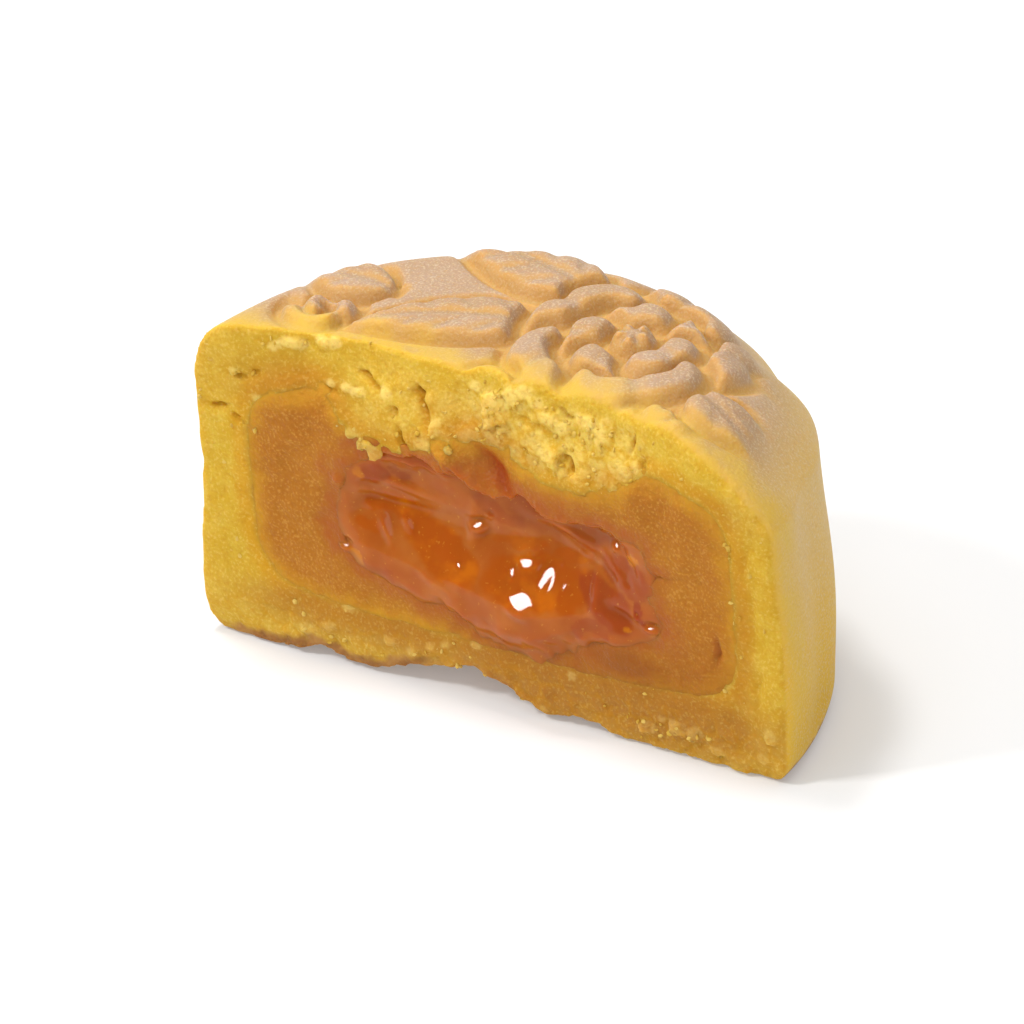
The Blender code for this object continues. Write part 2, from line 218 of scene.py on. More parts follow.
def cakeInside(x, y, z):
    fromAxis = y - axisY
    fromAxis = np.where(fromAxis > 0.0, fromAxis / cake["backStretch"], fromAxis)
    angle = np.arctan2(fromAxis, x)
    out = np.hypot(x, fromAxis)
    rise = relief(x, fromAxis) + cake["dome"] * smooth(0.0, 14.0, fromAxis)
    rise = rise + 0.16 * lumps(x, fromAxis, 0.0, 8.0, 6)
    level = z - rise * smooth(21.5, 24.0, z)
    share = (1.0 + np.cos(angle)) / 2.0
    share = share * share * (3.0 - 2.0 * share)
    flat = np.clip(level, 0.0, cake["top"] - 0.02)
    wall = wallAt(flat, share)
    lower = np.clip(flat - 0.12, 0.0, None)
    slope = (wallAt(lower, share) - wall) / np.maximum(flat - lower, 0.02)
    valley = (0.5 + 0.5 * np.cos(cake["lobes"] * (angle - cake["lobeTurn"]))) ** 3
    wall -= cake["lobeDepth"] * valley * smooth(24.6, 21.0, z) * smooth(0.2, 3.0, z)
    side = (wall - out) / np.sqrt(1.0 + slope**2)
    return np.minimum(np.minimum(side, cake["top"] - level), z)


paste = {
    "left": -19.5, "right": 20.8, "low": 4.8, "high": 21.4, "squareness": 5.5,
    "ceiling": [  # where crust has sunk into the paste along the break
        (-21.0, 21.5), (-19.5, 21.8), (-17.0, 22.0), (-14.0, 21.8), (-12.5, 20.6), (-11.6, 19.4),
        (-10.3, 18.5), (-8.0, 18.1), (-6.0, 18.2), (-4.4, 18.9), (-2.0, 20.0), (0.0, 20.4),
        (2.2, 20.0), (4.0, 19.1), (6.0, 18.4), (9.0, 18.7), (12.0, 19.6), (14.0, 21.2), (21.0, 22.0),
    ],
    # the recess is painted dark red: lava stain and painted shade in the hollow
    "recess": (1.4, 18.5, 2.2, 0.62, -48.0),  # across, up, half length, half width, lean
    # a painted shadow in the paste under the lava's lip
    "lipShadow": (11.6, 6.2, 3.2, 1.3),  # across, up, half width, half height
    "underCrust": 0.75, "sunk": 0.07,  # how far it runs in under the crust, and how low it lies there
    "box": ((-20.6, breakY - 1.0, 4.2), (21.6, 9.2, 22.2)), "step": 0.19, "thinned": 0.42,
}


def pasteInside(x, y, z):
    middleX, middleZ = (paste["left"] + paste["right"]) / 2.0, (paste["low"] + paste["high"]) / 2.0
    radius, halfZ = (paste["right"] - paste["left"]) / 2.0, (paste["high"] - paste["low"]) / 2.0
    power = paste["squareness"]
    out = np.hypot(x - middleX, (y - axisY) / cake["backStretch"])
    flat = np.maximum(out / radius, 1e-4)
    high = np.maximum(np.abs(z - middleZ) / halfZ, 1e-4)
    reach = (flat**power + high**power) ** (1.0 / power)
    slope = np.hypot((flat / reach) ** (power - 1.0) / radius, (high / reach) ** (power - 1.0) / halfZ)
    ceiling = np.interp(x, *np.array(paste["ceiling"]).T) + 6.0 * smooth(breakY + 2.0, breakY + 7.0, y)
    return np.minimum((1.0 - reach) / slope, (ceiling - z) * 0.9)


lava = {
    "middle": (1.2, 11.6),
    "outline": [
        (-12.9, 9.9), (-12.0, 14.0), (-11.2, 16.6), (-9.0, 18.0), (-5.0, 18.2), (-2.0, 17.7),
        (0.5, 17.1), (3.0, 17.0), (6.0, 16.6), (9.0, 16.2), (11.5, 16.6), (13.9, 15.6),
        (14.0, 12.6), (15.2, 10.2), (13.6, 8.4), (10.0, 7.4), (8.0, 6.8), (6.4, 5.5), (5.0, 4.9),
        (3.0, 4.7), (1.0, 4.9), (-1.0, 5.7), (-3.0, 6.5), (-6.0, 7.0), (-9.0, 7.6), (-11.2, 8.8),
    ],
    "depth": 7.5, "backLip": 1.6,
    "overlap": 0.40, "spill": 0.45,  # how far the paste and the pool reach over the shore line
    # across, lip in front, slope from, slope to, sunk behind
    "profile": [
        (-13.0, 0.0, 10.6, 12.4, 0.5), (-10.5, 0.05, 10.2, 12.6, 0.9), (-6.5, 0.15, 9.4, 12.6, 1.3),
        (-2.5, 0.5, 9.2, 12.5, 1.6), (1.5, 1.0, 8.7, 12.9, 1.9), (5.0, 0.95, 8.5, 12.9, 2.0),
        (8.5, 0.5, 9.3, 12.8, 1.6), (11.0, 0.2, 10.6, 12.4, 0.8), (15.5, 0.05, 10.6, 12.4, 0.4),
    ],
    "folds": [  # dents in the pool's surface
        (-8.0, 13.3, 3.0, 0.5, -6.0, 0.40), (-1.7, 13.4, 1.7, 0.55, 82.0, -0.40),
        (-8.6, 11.6, 1.2, 0.32, -62.0, -0.30), (-7.2, 12.2, 0.9, 0.26, -55.0, -0.22),
        (5.6, 14.4, 2.8, 0.45, -10.0, -0.35), (-7.0, 14.9, 3.0, 0.45, -12.0, -0.30),
        (9.2, 11.2, 0.5, 1.6, 10.0, -0.30), (11.0, 12.6, 1.6, 0.5, -35.0, -0.30),
        (11.4, 9.8, 1.7, 0.45, -20.0, 0.35), (3.4, 12.6, 1.2, 0.35, 15.0, -0.16),
        (-4.6, 8.9, 2.6, 0.35, -20.0, -0.14), (7.6, 7.6, 2.0, 0.4, 25.0, 0.2),
    ],
    # colours that shift with depth by the slant: across, up, half width, half height, lean, share; outside
    # the clear patches the pool's tone carries a painted milky reflection
    "clear": [
        (-7.0, 14.1, 3.4, 0.75, 7.0, 1.0), (-9.7, 12.0, 1.3, 0.6, 0.0, 0.9),
        (-3.6, 11.4, 3.4, 2.2, -35.0, 1.0), (4.6, 10.7, 5.0, 2.3, 15.0, 1.0),
        (8.6, 14.2, 2.2, 0.6, 28.0, 0.8), (4.0, 13.9, 2.2, 0.6, 5.0, 0.7),
        (1.4, 13.6, 0.7, 0.4, 30.0, 0.5),
    ],
    # darker red-brown patches: partly a darker tone, partly painted shade under the paste's edge and by
    # the lip
    "darkAndShaded": [
        (10.6, 10.6, 1.8, 2.6, 40.0, 0.75), (12.6, 13.2, 2.2, 1.2, -40.0, 0.6),
        (13.4, 10.8, 0.5, 1.0, 20.0, 0.9), (-9.0, 16.3, 1.4, 0.6, 10.0, 0.6),
        (-6.4, 17.0, 1.4, 0.4, 0.0, 0.5), (1.4, 15.8, 2.4, 0.7, -20.0, 0.4),
        (-9.6, 8.5, 2.4, 0.5, -30.0, 0.35), (9.0, 8.4, 2.0, 0.6, 20.0, 0.5),
    ],
    "pocket": [
        (-10.7, 9.2, 0.9, 0.5, -25.0, 0.4), (12.6, 14.8, 0.9, 0.4, -20.0, 0.35),
        (15.0, 9.2, 0.6, 0.3, 0.0, 0.4), (-10.0, 15.9, 0.5, 0.3, 0.0, 0.35),
        (12.0, 8.9, 0.35, 0.25, 0.0, 0.35),
    ],
    "glints": [  # across, up, half width, half height
        (3.3, 9.2, 1.3, 1.0), (2.9, 11.4, 0.95, 0.5), (4.6, 10.9, 0.65, 0.85), (-1.4, 13.1, 0.75, 0.6),
        (-11.8, 9.8, 0.62, 0.5), (10.7, 14.8, 0.5, 0.5), (5.6, 11.7, 0.3, 0.3), (3.4, 12.4, 0.4, 0.35),
        (-2.4, 10.3, 0.35, 0.35), (-4.5, 9.9, 0.25, 0.25), (12.8, 10.3, 0.3, 0.3), (13.9, 9.6, 0.8, 0.4),
        (-0.4, 14.1, 0.35, 0.3), (2.0, 10.7, 0.35, 0.6),
    ],
    "glintSlope": 1.0,
    "slant": (0.74, 0.66),  # across and up, for each millimetre of depth
    "box": ((-13.4, breakY - 2.4, 3.8), (16.8, breakY + 8.4, 19.4)), "step": 0.16, "thinned": 0.5,
}


def lavaReach(angle):
    points = np.array(lava["outline"]) - lava["middle"]
    at = np.mod(np.arctan2(points[:, 1], points[:, 0]), 2.0 * math.pi)
    order = np.argsort(at)
    reach = np.hypot(points[:, 0], points[:, 1])
    total = np.zeros_like(angle)
    for turn in np.radians([-6.0, -3.0, 0.0, 3.0, 6.0]):
        wrapped = np.mod(angle + turn, 2.0 * math.pi)
        total += np.interp(wrapped, at[order], reach[order], period=2.0 * math.pi)
    return total / 5.0


# adds long dents: across, up, half length, half width, lean in degrees, depth
def addDents(depth, x, z, dents, wobble=0.0):
    for atX, atZ, halfLength, halfWidth, lean, deep in dents:
        along, across = turned(x - atX, z - atZ, math.radians(lean))
        if wobble:
            across = across + wobble * lumps(along, 0.0, 0.0 * along + atX, 0.8, 31)
        depth = depth + deep * bell(along, 0.0, halfLength) * bell(across, 0.0, halfWidth)
    return depth


# distance inside the pool's shore, seen face on
def shoreDistance(x, z):
    dx, dz = x - lava["middle"][0], z - lava["middle"][1]
    reach = lavaReach(np.arctan2(dz, dx))
    out = np.hypot(dx, dz)
    ragged = 0.62 * lumps(x, 0.0, z, 2.4, 23) + 0.34 * lumps(x, 0.0, z, 0.9, 24)
    return (reach - out) * 0.85 + ragged, out / reach, dz / np.maximum(out, 0.1)


# how far the pool's surface lies behind the broken face, before the glints
def poolShape(x, z):
    table = np.array(lava["profile"]).T
    lip, low, high, sunk = (np.interp(x, table[0], row) for row in table[1:])
    slope = np.clip((z - low) / (high - low), 0.0, 1.0)
    slope = 0.7 * slope + 0.3 * slope * slope * (3.0 - 2.0 * slope)
    depth = (lip + sunk) * slope - lip * smooth(4.2, 6.8, z)
    depth = depth + 0.20 * lumps(x, 0.0, z, 3.6, 21) + 0.07 * lumps(x, 0.0, z, 1.6, 22)
    return addDents(depth, x, z, lava["folds"])


def poolDepth(x, z):
    shore, _, upward = shoreDistance(x, z)
    depth = poolShape(x, z)
    sunk = np.maximum(smooth(0.0, 2.4, shore), smooth(0.35, 0.8, upward))
    swollen = np.sqrt(smooth(-0.1, 1.5, shore))
    film = 0.07 * smooth(-0.2, 1.2, shore) - 0.4 * smooth(0.0, -0.5, shore)
    return faceDepth(x, z) + np.where(depth > 0.0, depth * sunk, depth * swollen) - film


# the same with the small tilted spots that catch the light
def lavaDepth(x, z):
    depth = poolDepth(x, z)
    for atX, atZ, wide, high in lava["glints"]:
        near = np.exp(-((((x - atX) / wide) ** 2 + ((z - atZ) / high) ** 2) ** 2))
        level = poolDepth(np.float32([atX]), np.float32([atZ]))[0]
        depth = depth * (1.0 - near) + (level + lava["glintSlope"] * (z - atZ)) * near
    return depth


def poolBack(y, spread):
    hollow = (lava["depth"] - lava["backLip"]) * (1.0 - np.clip(spread, 0.0, 1.0) ** 2.5)
    return (lava["backLip"] + hollow - (y - breakY)) * 0.85


def lavaInside(x, y, z):
    shore, spread, _ = shoreDistance(x, z)
    depth = lavaDepth(x, z)
    ahead = (y - breakY - depth) / np.sqrt(1.0 + slopeSquared(depth, x, z))
    return np.minimum(np.minimum(shore + lava["spill"], ahead), poolBack(y, spread) + 0.1)


def lavaRoom(x, y, z):
    shore, spread, _ = shoreDistance(x, z)
    return np.minimum(shore - lava["overlap"], poolBack(y, spread))


def slopeSquared(depth, x, z):
    slopeX = np.gradient(depth, float(x[1, 0, 0] - x[0, 0, 0]), axis=0)
    slopeZ = np.gradient(depth, float(z[0, 0, 1] - z[0, 0, 0]), axis=2)
    return slopeX**2 + slopeZ**2


broken = {
    "crown": 1.9, "hollow": 0.5, "notch": 0.7,  # how deep the face lies at each
    "waves": [(0.20, 3.4, 1), (0.12, 1.7, 2)],  # height, size, seed
    "flakeLean": -38.0, "flakeLength": 1.7,  # in degrees, and for a width of one
    "flakeDepths": (0.19, 0.08, 0.07),  # large, small, and the crack round each
}


# how far behind breakY the broken face lies
def breakDepth(x, z):
    tornTop = broken["crown"] * smooth(19.0, 25.5, z) * smooth(-21.0, -13.0, x) * smooth(20.0, 10.0, x)
    hollow = broken["hollow"] * bell(x, 1.0, 13.0) * bell(z, 12.0, 7.0)
    return tornTop + (hollow + broken["notch"] * bell(x, 1.2, 2.6) * bell(z, 19.4, 2.0))


def faceDepth(x, z):
    depth = breakDepth(x, z)
    for height, size, seed in broken["waves"]:
        depth = depth + height * lumps(x, 0.0, z, size, seed)
    return depth


footEdge = [  # across, height of the ragged edge
    (-26.0, 0.0), (-19.0, 0.0), (-16.5, 0.4), (-15.0, 1.0), (-12.0, 0.2), (-10.0, 0.3), (-8.0, 1.1),
    (-5.0, 1.6), (-2.0, 2.5), (-1.0, 2.1), (2.0, 1.3), (4.5, 0.4), (7.0, 0.8), (9.0, 0.5),
    (12.0, 0.0), (15.0, 0.2), (18.0, 0.0), (26.0, 0.0),
]
footUndercut = 4.5  # how far back the edge is lifted


def footHeight(x, y):
    edge = np.interp(x, *np.array(footEdge).T)
    gone = np.clip((y - breakY) / footUndercut, 0.0, 1.0) ** 1.25
    return edge * (1.0 - gone)


tears = [  # dents in the broken crust
    (-22.0, 18.5, 0.9, 0.22, 8.0, 0.9), (-20.5, 17.9, 0.5, 0.2, -30.0, 0.8),
    (-20.0, 21.3, 0.9, 0.2, 0.0, 0.6), (-18.6, 21.7, 0.5, 0.25, 20.0, 0.6),
    (-9.4, 22.8, 1.0, 0.18, -28.0, 0.9), (-5.2, 22.9, 0.4, 0.24, 0.0, 1.1),
    (-4.6, 21.8, 1.2, 0.24, -62.0, 1.0), (-7.0, 21.3, 0.3, 0.25, 0.0, 0.8),
    (-6.2, 19.4, 0.8, 0.2, -70.0, 0.7), (-9.0, 18.6, 0.7, 0.16, 10.0, 0.5),
    (6.8, 23.8, 0.7, 0.15, -25.0, 0.6), (7.3, 21.0, 0.4, 0.18, -20.0, 0.65),
    (8.0, 20.5, 0.6, 0.18, -65.0, 0.75), (12.6, 23.0, 0.6, 0.16, 70.0, 0.55),
    (13.7, 21.9, 0.35, 0.16, 85.0, 0.6), (-22.0, 12.0, 0.9, 0.3, 70.0, 0.15),
    (22.4, 12.5, 2.2, 0.35, 88.0, 0.25), (22.2, 17.0, 1.5, 0.3, 70.0, 0.25),
    (22.6, 7.0, 1.8, 0.3, 85.0, 0.25), (-12.5, 21.6, 1.0, 0.2, -10.0, 0.4),
    (1.5, 22.6, 1.2, 0.25, 80.0, 0.5), (4.6, 22.6, 2.0, 0.2, -12.0, 0.45),
]
pasteTears = [  # the same in the paste
    (19.3, 9.2, 1.1, 0.20, 80.0, 0.45), (15.0, 13.6, 1.2, 0.12, 20.0, 0.3),
    (1.2, 18.5, 1.9, 0.6, -42.0, 0.6), (-2.7, 18.7, 1.4, 0.5, -42.0, -0.55),
    (-0.7, 17.4, 1.1, 0.45, -35.0, -0.55), (-3.2, 17.6, 0.9, 0.3, -50.0, -0.3),
    (-1.8, 17.8, 1.0, 0.12, -45.0, 0.4), (-12.0, 15.0, 0.5, 0.4, 40.0, -0.35),
]


def tearDepth(x, z, dents):
    return addDents(np.zeros_like(x), x, z, dents, wobble=0.25)


# torn dough comes away in tilted flakes: the height of the nearest flake, and how near its edge is
def flakes(x, z, size, seed):
    u, v = turned(x, z, math.radians(broken["flakeLean"]))
    u, v = u / (size * broken["flakeLength"]), v / size
    table = np.random.default_rng(seed).random((5, 32, 32)).astype(np.float32)
    first = np.full(u.shape, 9.0, np.float32)
    second = first.copy()
    height = np.zeros_like(first)
    for i in (-1, 0, 1):
        for j in (-1, 0, 1):
            cellU, cellV = np.floor(u).astype(int) + i, np.floor(v).astype(int) + j
            jitterU, jitterV, level, tiltU, tiltV = table[:, cellU % 32, cellV % 32]
            du, dv = u - cellU - jitterU, v - cellV - jitterV
            away = np.hypot(du, dv)
            nearer = away < first
            second = np.where(nearer, first, np.minimum(second, away))
            tilted = level + 1.1 * ((tiltU - 0.5) * du + (tiltV - 0.5) * dv)
            height = np.where(nearer, tilted, height)
            first = np.where(nearer, away, first)
    return height, smooth(0.22, 0.0, second - first)


# how crumbly the broken crust is, 0 where the dough tore smooth
def crumbliness(x, z):
    foot = smooth(4.6, 2.6, z) * smooth(-23.5, -20.0, x)
    crown = smooth(18.5, 20.5, z) * smooth(-12.0, -8.0, x) * smooth(15.5, 12.0, x)
    crown = crown * (0.45 + 0.55 * smooth(-3.0, 0.5, x)) * smooth(25.0, 23.6, z)
    sides = 0.35 * smooth(20.6, 21.6, x) + 0.2 * smooth(-19.6, -20.2, x)
    return np.clip(np.maximum(np.maximum(foot, crown), sides), 0.0, 1.0)


def flakeDepth(x, z):
    large, largeEdge = flakes(x + 0.3 * lumps(x, 0.0, z, 1.0, 33), z, 1.5, 5)
    small, smallEdge = flakes(x, z + 0.2 * lumps(x, 0.0, z, 0.8, 34), 0.7, 6)
    edge = np.maximum(largeEdge, 0.6 * smallEdge)
    deepLarge, deepSmall, deepEdge = broken["flakeDepths"]
    return deepLarge * (0.5 - large) + deepSmall * (0.5 - small) + deepEdge * edge, edge


def breakInside(x, y, z, crust=True):
    loose = crumbliness(x, z)
    depth = faceDepth(x, z) + tearDepth(x, z, tears if crust else pasteTears)
    if crust:
        depth = depth + loose * flakeDepth(x, z)[0]
    behind = (y - breakY - depth) / np.sqrt(1.0 + np.minimum(slopeSquared(depth, x, z), 1.0))
    near = y[0, :, 0] < breakY + 3.5
    y = y[:, near, :]
    border = smooth(1.0, 0.1, np.abs(pasteInside(x, y, z)))
    rough = (0.05 + 0.07 * loose) * lumps(x, y, z, 0.8, 3) if crust else 0.06 * lumps(x, y, z, 0.9, 9)
    rough = rough * (1.0 - border) + 0.05 * lumps(x, y, z, 0.9, 9) * border
    behind[:, near, :] -= rough
    return behind


# paler crumbs and chips still stuck to the broken crust, partly their own colour and partly a painted
# highlight: across, up, half width, half height, turn
chips = [
    (1.1, 23.1, 1.0, 1.15, 20.0), (0.7, 22.3, 0.5, 0.4, 0.0), (1.7, 21.7, 0.28, 0.24, 0.0),
    (2.6, 24.3, 0.8, 0.5, -20.0), (3.5, 24.7, 0.7, 0.4, 10.0), (4.4, 24.2, 0.45, 0.35, 0.0),
    (5.6, 23.3, 0.8, 0.35, -15.0), (6.8, 22.9, 0.5, 0.4, 10.0), (8.6, 23.8, 0.9, 0.4, -20.0),
    (9.8, 23.1, 0.6, 0.5, 30.0), (10.2, 23.8, 0.4, 0.3, 0.0), (8.4, 19.9, 0.45, 0.3, 20.0),
    (8.9, 20.3, 0.3, 0.25, 0.0), (7.0, 20.1, 0.5, 0.3, -30.0), (6.0, 21.1, 1.1, 0.4, -18.0),
    (12.4, 21.3, 0.45, 0.35, 30.0), (13.1, 21.7, 0.35, 0.3, 0.0), (-0.7, 24.1, 0.42, 0.28, 0.0),
    (-3.4, 20.8, 0.45, 0.5, 0.0), (-4.3, 19.5, 0.7, 0.3, 5.0), (-2.4, 19.5, 0.6, 0.25, -5.0),
    (-9.6, 18.2, 0.7, 0.4, 20.0), (-8.6, 17.9, 0.6, 0.45, -10.0), (-10.6, 18.8, 0.5, 0.3, 30.0),
    (-11.6, 19.3, 0.35, 0.25, 0.0), (-12.6, 22.0, 0.25, 0.2, 0.0), (-10.2, 21.9, 0.5, 0.25, 0.0),
    (-11.3, 22.0, 0.35, 0.2, 0.0), (-7.8, 22.4, 0.5, 0.3, 35.0), (-15.8, 24.3, 0.9, 0.3, 5.0),
    (-17.0, 24.1, 0.4, 0.25, 0.0), (-13.0, 24.8, 0.9, 0.35, 15.0), (-20.4, 21.5, 0.3, 0.22, 0.0),
    (-19.0, 17.2, 0.3, 0.25, 0.0), (-18.5, 19.8, 0.22, 0.2, 0.0),
    (15.8, 2.3, 0.9, 0.4, 5.0), (17.1, 2.2, 0.6, 0.35, -15.0), (13.1, 1.7, 0.7, 0.35, 0.0),
    (18.9, 1.3, 0.6, 0.25, 10.0), (14.3, 2.5, 0.25, 0.2, 0.0), (6.9, 4.0, 0.25, 0.22, 0.0),
    (-8.6, 2.9, 0.35, 0.25, 20.0), (-13.8, 2.9, 0.5, 0.2, -10.0), (-12.0, 4.6, 0.4, 0.2, 40.0),
    (-5.0, 3.4, 0.4, 0.25, 0.0), (-6.6, 2.6, 0.5, 0.3, 15.0), (-3.9, 3.7, 0.3, 0.22, 0.0),
    (-15.8, 2.1, 0.6, 0.3, 0.0), (-1.2, 4.3, 0.3, 0.2, 0.0),
    (23.4, 3.4, 0.35, 0.5, 0.0), (22.6, 1.6, 0.4, 0.3, 30.0), (4.4, 0.9, 0.3, 0.25, 0.0),
]


chipSunk, chipThickness = 0.30, 0.52  # for a width of one


# a chip is an angular crumb, cut from slabs that are turned against each other
def addChips(field, x, y, z):
    step = float(x[1, 0, 0] - x[0, 0, 0])
    start = (x[0, 0, 0], y[0, 0, 0], z[0, 0, 0])
    for number, (atX, atZ, wide, high, lean) in enumerate(chips):
        reach = max(wide, high) + 0.5
        atY = breakY + float(faceDepth(np.float32([atX]), np.float32([atZ]))[0])
        atY = atY + min(wide, high) * chipSunk
        first = [max(int((v - reach - o) / step), 0) for v, o in zip((atX, atY, atZ), start)]
        size = int(2.0 * reach / step) + 2
        i, j, k = (slice(v, v + size) for v in first)
        dx, dy, dz = x[i] - atX, y[:, j] - atY, z[:, :, k] - atZ
        thick = 0.5 * (wide + high) * chipThickness
        blob = np.full(np.broadcast(dx, dy, dz).shape, 9.0)
        for side in range(4):
            turn = math.radians(lean + 47.0 * side + 23.0 * number)
            along = dx * math.cos(turn) + dz * math.sin(turn) + 0.35 * math.sin(3.1 * side + number) * dy
            apart = turn - math.radians(lean)
            half = wide * abs(math.cos(apart)) + high * abs(math.sin(apart))
            blob = np.minimum(blob, half * 0.9 - np.abs(along))
        blob = np.minimum(blob, thick - np.abs(dy + 0.3 * dx * math.sin(number) - 0.3 * dz))
        blob = blob + 0.10 * lumps(x[i], y[:, j], z[:, :, k], 0.7, 25)
        middle = field[i, j, k][tuple(n // 2 for n in blob.shape)]
        if middle > -0.5:
            field[i, j, k] = np.maximum(field[i, j, k], blob)
    return field


# meshes from signed distances: one quad for each grid edge that crosses the surface

def surfaceNet(field, origin, step):
    inside = field > 0.0
    size = np.array(field.shape)
    corners = [(i, j, k) for i in (0, 1) for j in (0, 1) for k in (0, 1)]
    total = np.zeros(size - 1, np.int8)
    for i, j, k in corners:
        total += inside[i:size[0] - 1 + i, j:size[1] - 1 + j, k:size[2] - 1 + k]
    mixed = (total > 0) & (total < 8)
    cells = np.argwhere(mixed)
    number = np.full(mixed.shape, -1, np.int64)
    number[mixed] = np.arange(len(cells))
    value = {c: field[cells[:, 0] + c[0], cells[:, 1] + c[1], cells[:, 2] + c[2]] for c in corners}
    place = np.zeros((len(cells), 3))
    crossings = np.zeros(len(cells))
    for axis in range(3):
        for low in [c for c in corners if c[axis] == 0]:
            high = tuple(1 if k == axis else low[k] for k in range(3))
            cross = (value[low] > 0.0) != (value[high] > 0.0)
            share = value[low][cross] / (value[low][cross] - value[high][cross])
            spot = np.tile(np.array(low, float), (len(share), 1))
            spot[:, axis] = share
            place[cross] += spot
            crossings[cross] += 1.0
    points = np.array(origin) + step * (cells + place / crossings[:, None])
    quads = []
    for axis in range(3):
        second, third = (axis + 1) % 3, (axis + 2) % 3
        near = [slice(1, -1)] * 3
        far = [slice(1, -1)] * 3
        near[axis], far[axis] = slice(0, -1), slice(1, None)
        here, there = inside[tuple(near)], inside[tuple(far)]
        for forward in (True, False):
            start = np.argwhere(here & ~there if forward else ~here & there)
            start[:, second] += 1
            start[:, third] += 1
            ring = []
            for b, c in ((-1, -1), (0, -1), (0, 0), (-1, 0)):
                at = start.copy()
                at[:, second] += b
                at[:, third] += c
                ring.append(number[at[:, 0], at[:, 1], at[:, 2]])
            ring = np.stack(ring, axis=1)
            quads.append(ring if forward else ring[:, ::-1])
    return points, np.concatenate(quads)


def gridOf(low, high, step):
    counts = [int(math.ceil((h - l) / step)) + 1 for l, h in zip(low, high)]
    lines = [np.float32(l + step * np.arange(n)) for l, n in zip(low, counts)]
    return np.meshgrid(*lines, indexing="ij", sparse=True)


def newObject(name, data):
    thing = bpy.data.objects.new(name, data)
    bpy.context.scene.collection.objects.link(thing)
    return thing


def meshObject(name, points, quads):
    mesh = bpy.data.meshes.new(name)
    mesh.vertices.add(len(points))
    mesh.vertices.foreach_set("co", (points * mm).ravel())
    mesh.loops.add(quads.size)
    mesh.loops.foreach_set("vertex_index", quads.ravel().astype(np.int32))
    mesh.polygons.add(len(quads))
    mesh.polygons.foreach_set("loop_start", np.arange(0, quads.size, 4, dtype=np.int32))
    mesh.update(calc_edges=True)
    mesh.shade_smooth()
    return newObject(name, mesh)


def meshFromField(name, fieldOf, low, high, step):
    x, y, z = gridOf(low, high, step)
    field = fieldOf(x, y, z).astype(np.float32)
    points, quads = surfaceNet(field, (x[0, 0, 0], y[0, 0, 0], z[0, 0, 0]), step)
    return meshObject(name, points, quads), points


def pointsOf(mesh):
    points = np.empty(len(mesh.vertices) * 3, np.float32)
    mesh.vertices.foreach_get("co", points)
    return points.reshape(-1, 3).astype(float) / mm


# thins out the faces whose share is high, and keeps the rest as they are
def thinOut(piece, share, ratio):
    group = piece.vertex_groups.new(name="thin")
    steps = np.round(np.clip(share, 0.0, 1.0) * 4).astype(int)
    for level in range(1, 5):
        group.add(np.nonzero(steps == level)[0].tolist(), level / 4.0, "REPLACE")
    thin = piece.modifiers.new("thin", "DECIMATE")
    thin.ratio = ratio
    thin.vertex_group = group.name
    thin.vertex_group_factor = 10.0
    graph = bpy.context.evaluated_depsgraph_get()
    fewer = bpy.data.meshes.new_from_object(piece.evaluated_get(graph))
    piece.modifiers.remove(thin)
    old = piece.data
    piece.data = fewer
    fewer.name = piece.name
    bpy.data.meshes.remove(old)
    piece.vertex_groups.clear()
    fewer.shade_smooth()


# thinning can throw a point out of the cake: it goes back towards the axis
def pullStrays(mesh):
    points = pointsOf(mesh)
    for _ in range(6):
        over = cakeInside(*points.T)
        over = np.where((over < -0.15) & (points[:, 2] < 22.5) & (points[:, 2] > 0.5), over, 0.0)
        out = np.hypot(points[:, 0], points[:, 1] - axisY)
        pull = 1.0 + over / np.maximum(out, 1.0)
        points[:, 0] *= pull
        points[:, 1] = axisY + (points[:, 1] - axisY) * pull
    mesh.vertices.foreach_set("co", (points * mm).ravel().astype(np.float32))
    mesh.update()


# keeps named shares on the points of a piece, for its finish
def setShares(piece, **shares):
    for name, values in shares.items():
        layer = piece.data.attributes.new(name, "FLOAT", "POINT")
        layer.data.foreach_set("value", np.asarray(values, np.float32))


def declare(piece, node):
    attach(piece, "root")
    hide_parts(node)


# takes a body from its field to its finish, and thins it out where it can't be seen
def makePiece(name, node, fieldOf, rules, hiddenAt, finish):
    piece, points = meshFromField(name, fieldOf, *rules["box"], rules["step"])
    thinOut(piece, hiddenAt(*points.T), rules["thinned"])
    finish(piece)
    declare(piece, node)
    return piece


def countTriangles(piece):
    return sum(len(p.vertices) - 2 for p in piece.data.polygons)


def plug(tree, slot, value):
    if isinstance(value, Wire):
        tree.links.new(value.socket, slot)
    elif isinstance(value, tuple) and len(value) == 3 and slot.type == "RGBA":
        slot.default_value = (*value, 1.0)
    else:
        slot.default_value = value


def treeNode(tree, kind, settings, inputs, output=0):
    node = tree.nodes.new(kind)
    for key, value in settings.items():
        setattr(node, key, value)
    for key, value in inputs.items():
        plug(tree, node.inputs[key], value)
    return Wire(tree, node.outputs[output]) if len(node.outputs) else None


# a socket that takes part in sums
class Wire:
    def __init__(self, tree, socket):
        self.tree = tree
        self.socket = socket

    def math(self, operation, first, second):
        return treeNode(self.tree, "ShaderNodeMath", {"operation": operation}, {0: first, 1: second})

    def ramp(self, low, high):
        inputs = {0: self, 1: low, 2: high, 3: 0.0, 4: 1.0}
        return treeNode(self.tree, "ShaderNodeMapRange", {"interpolation_type": "SMOOTHSTEP"}, inputs)


# wires add, subtract and multiply as numbers do
for sign, operation in {"add": "ADD", "sub": "SUBTRACT", "mul": "MULTIPLY"}.items():
    setattr(Wire, f"__{sign}__", lambda wire, other, kind=operation: wire.math(kind, wire, other))
    setattr(Wire, f"__r{sign}__", lambda wire, other, kind=operation: wire.math(kind, other, wire))


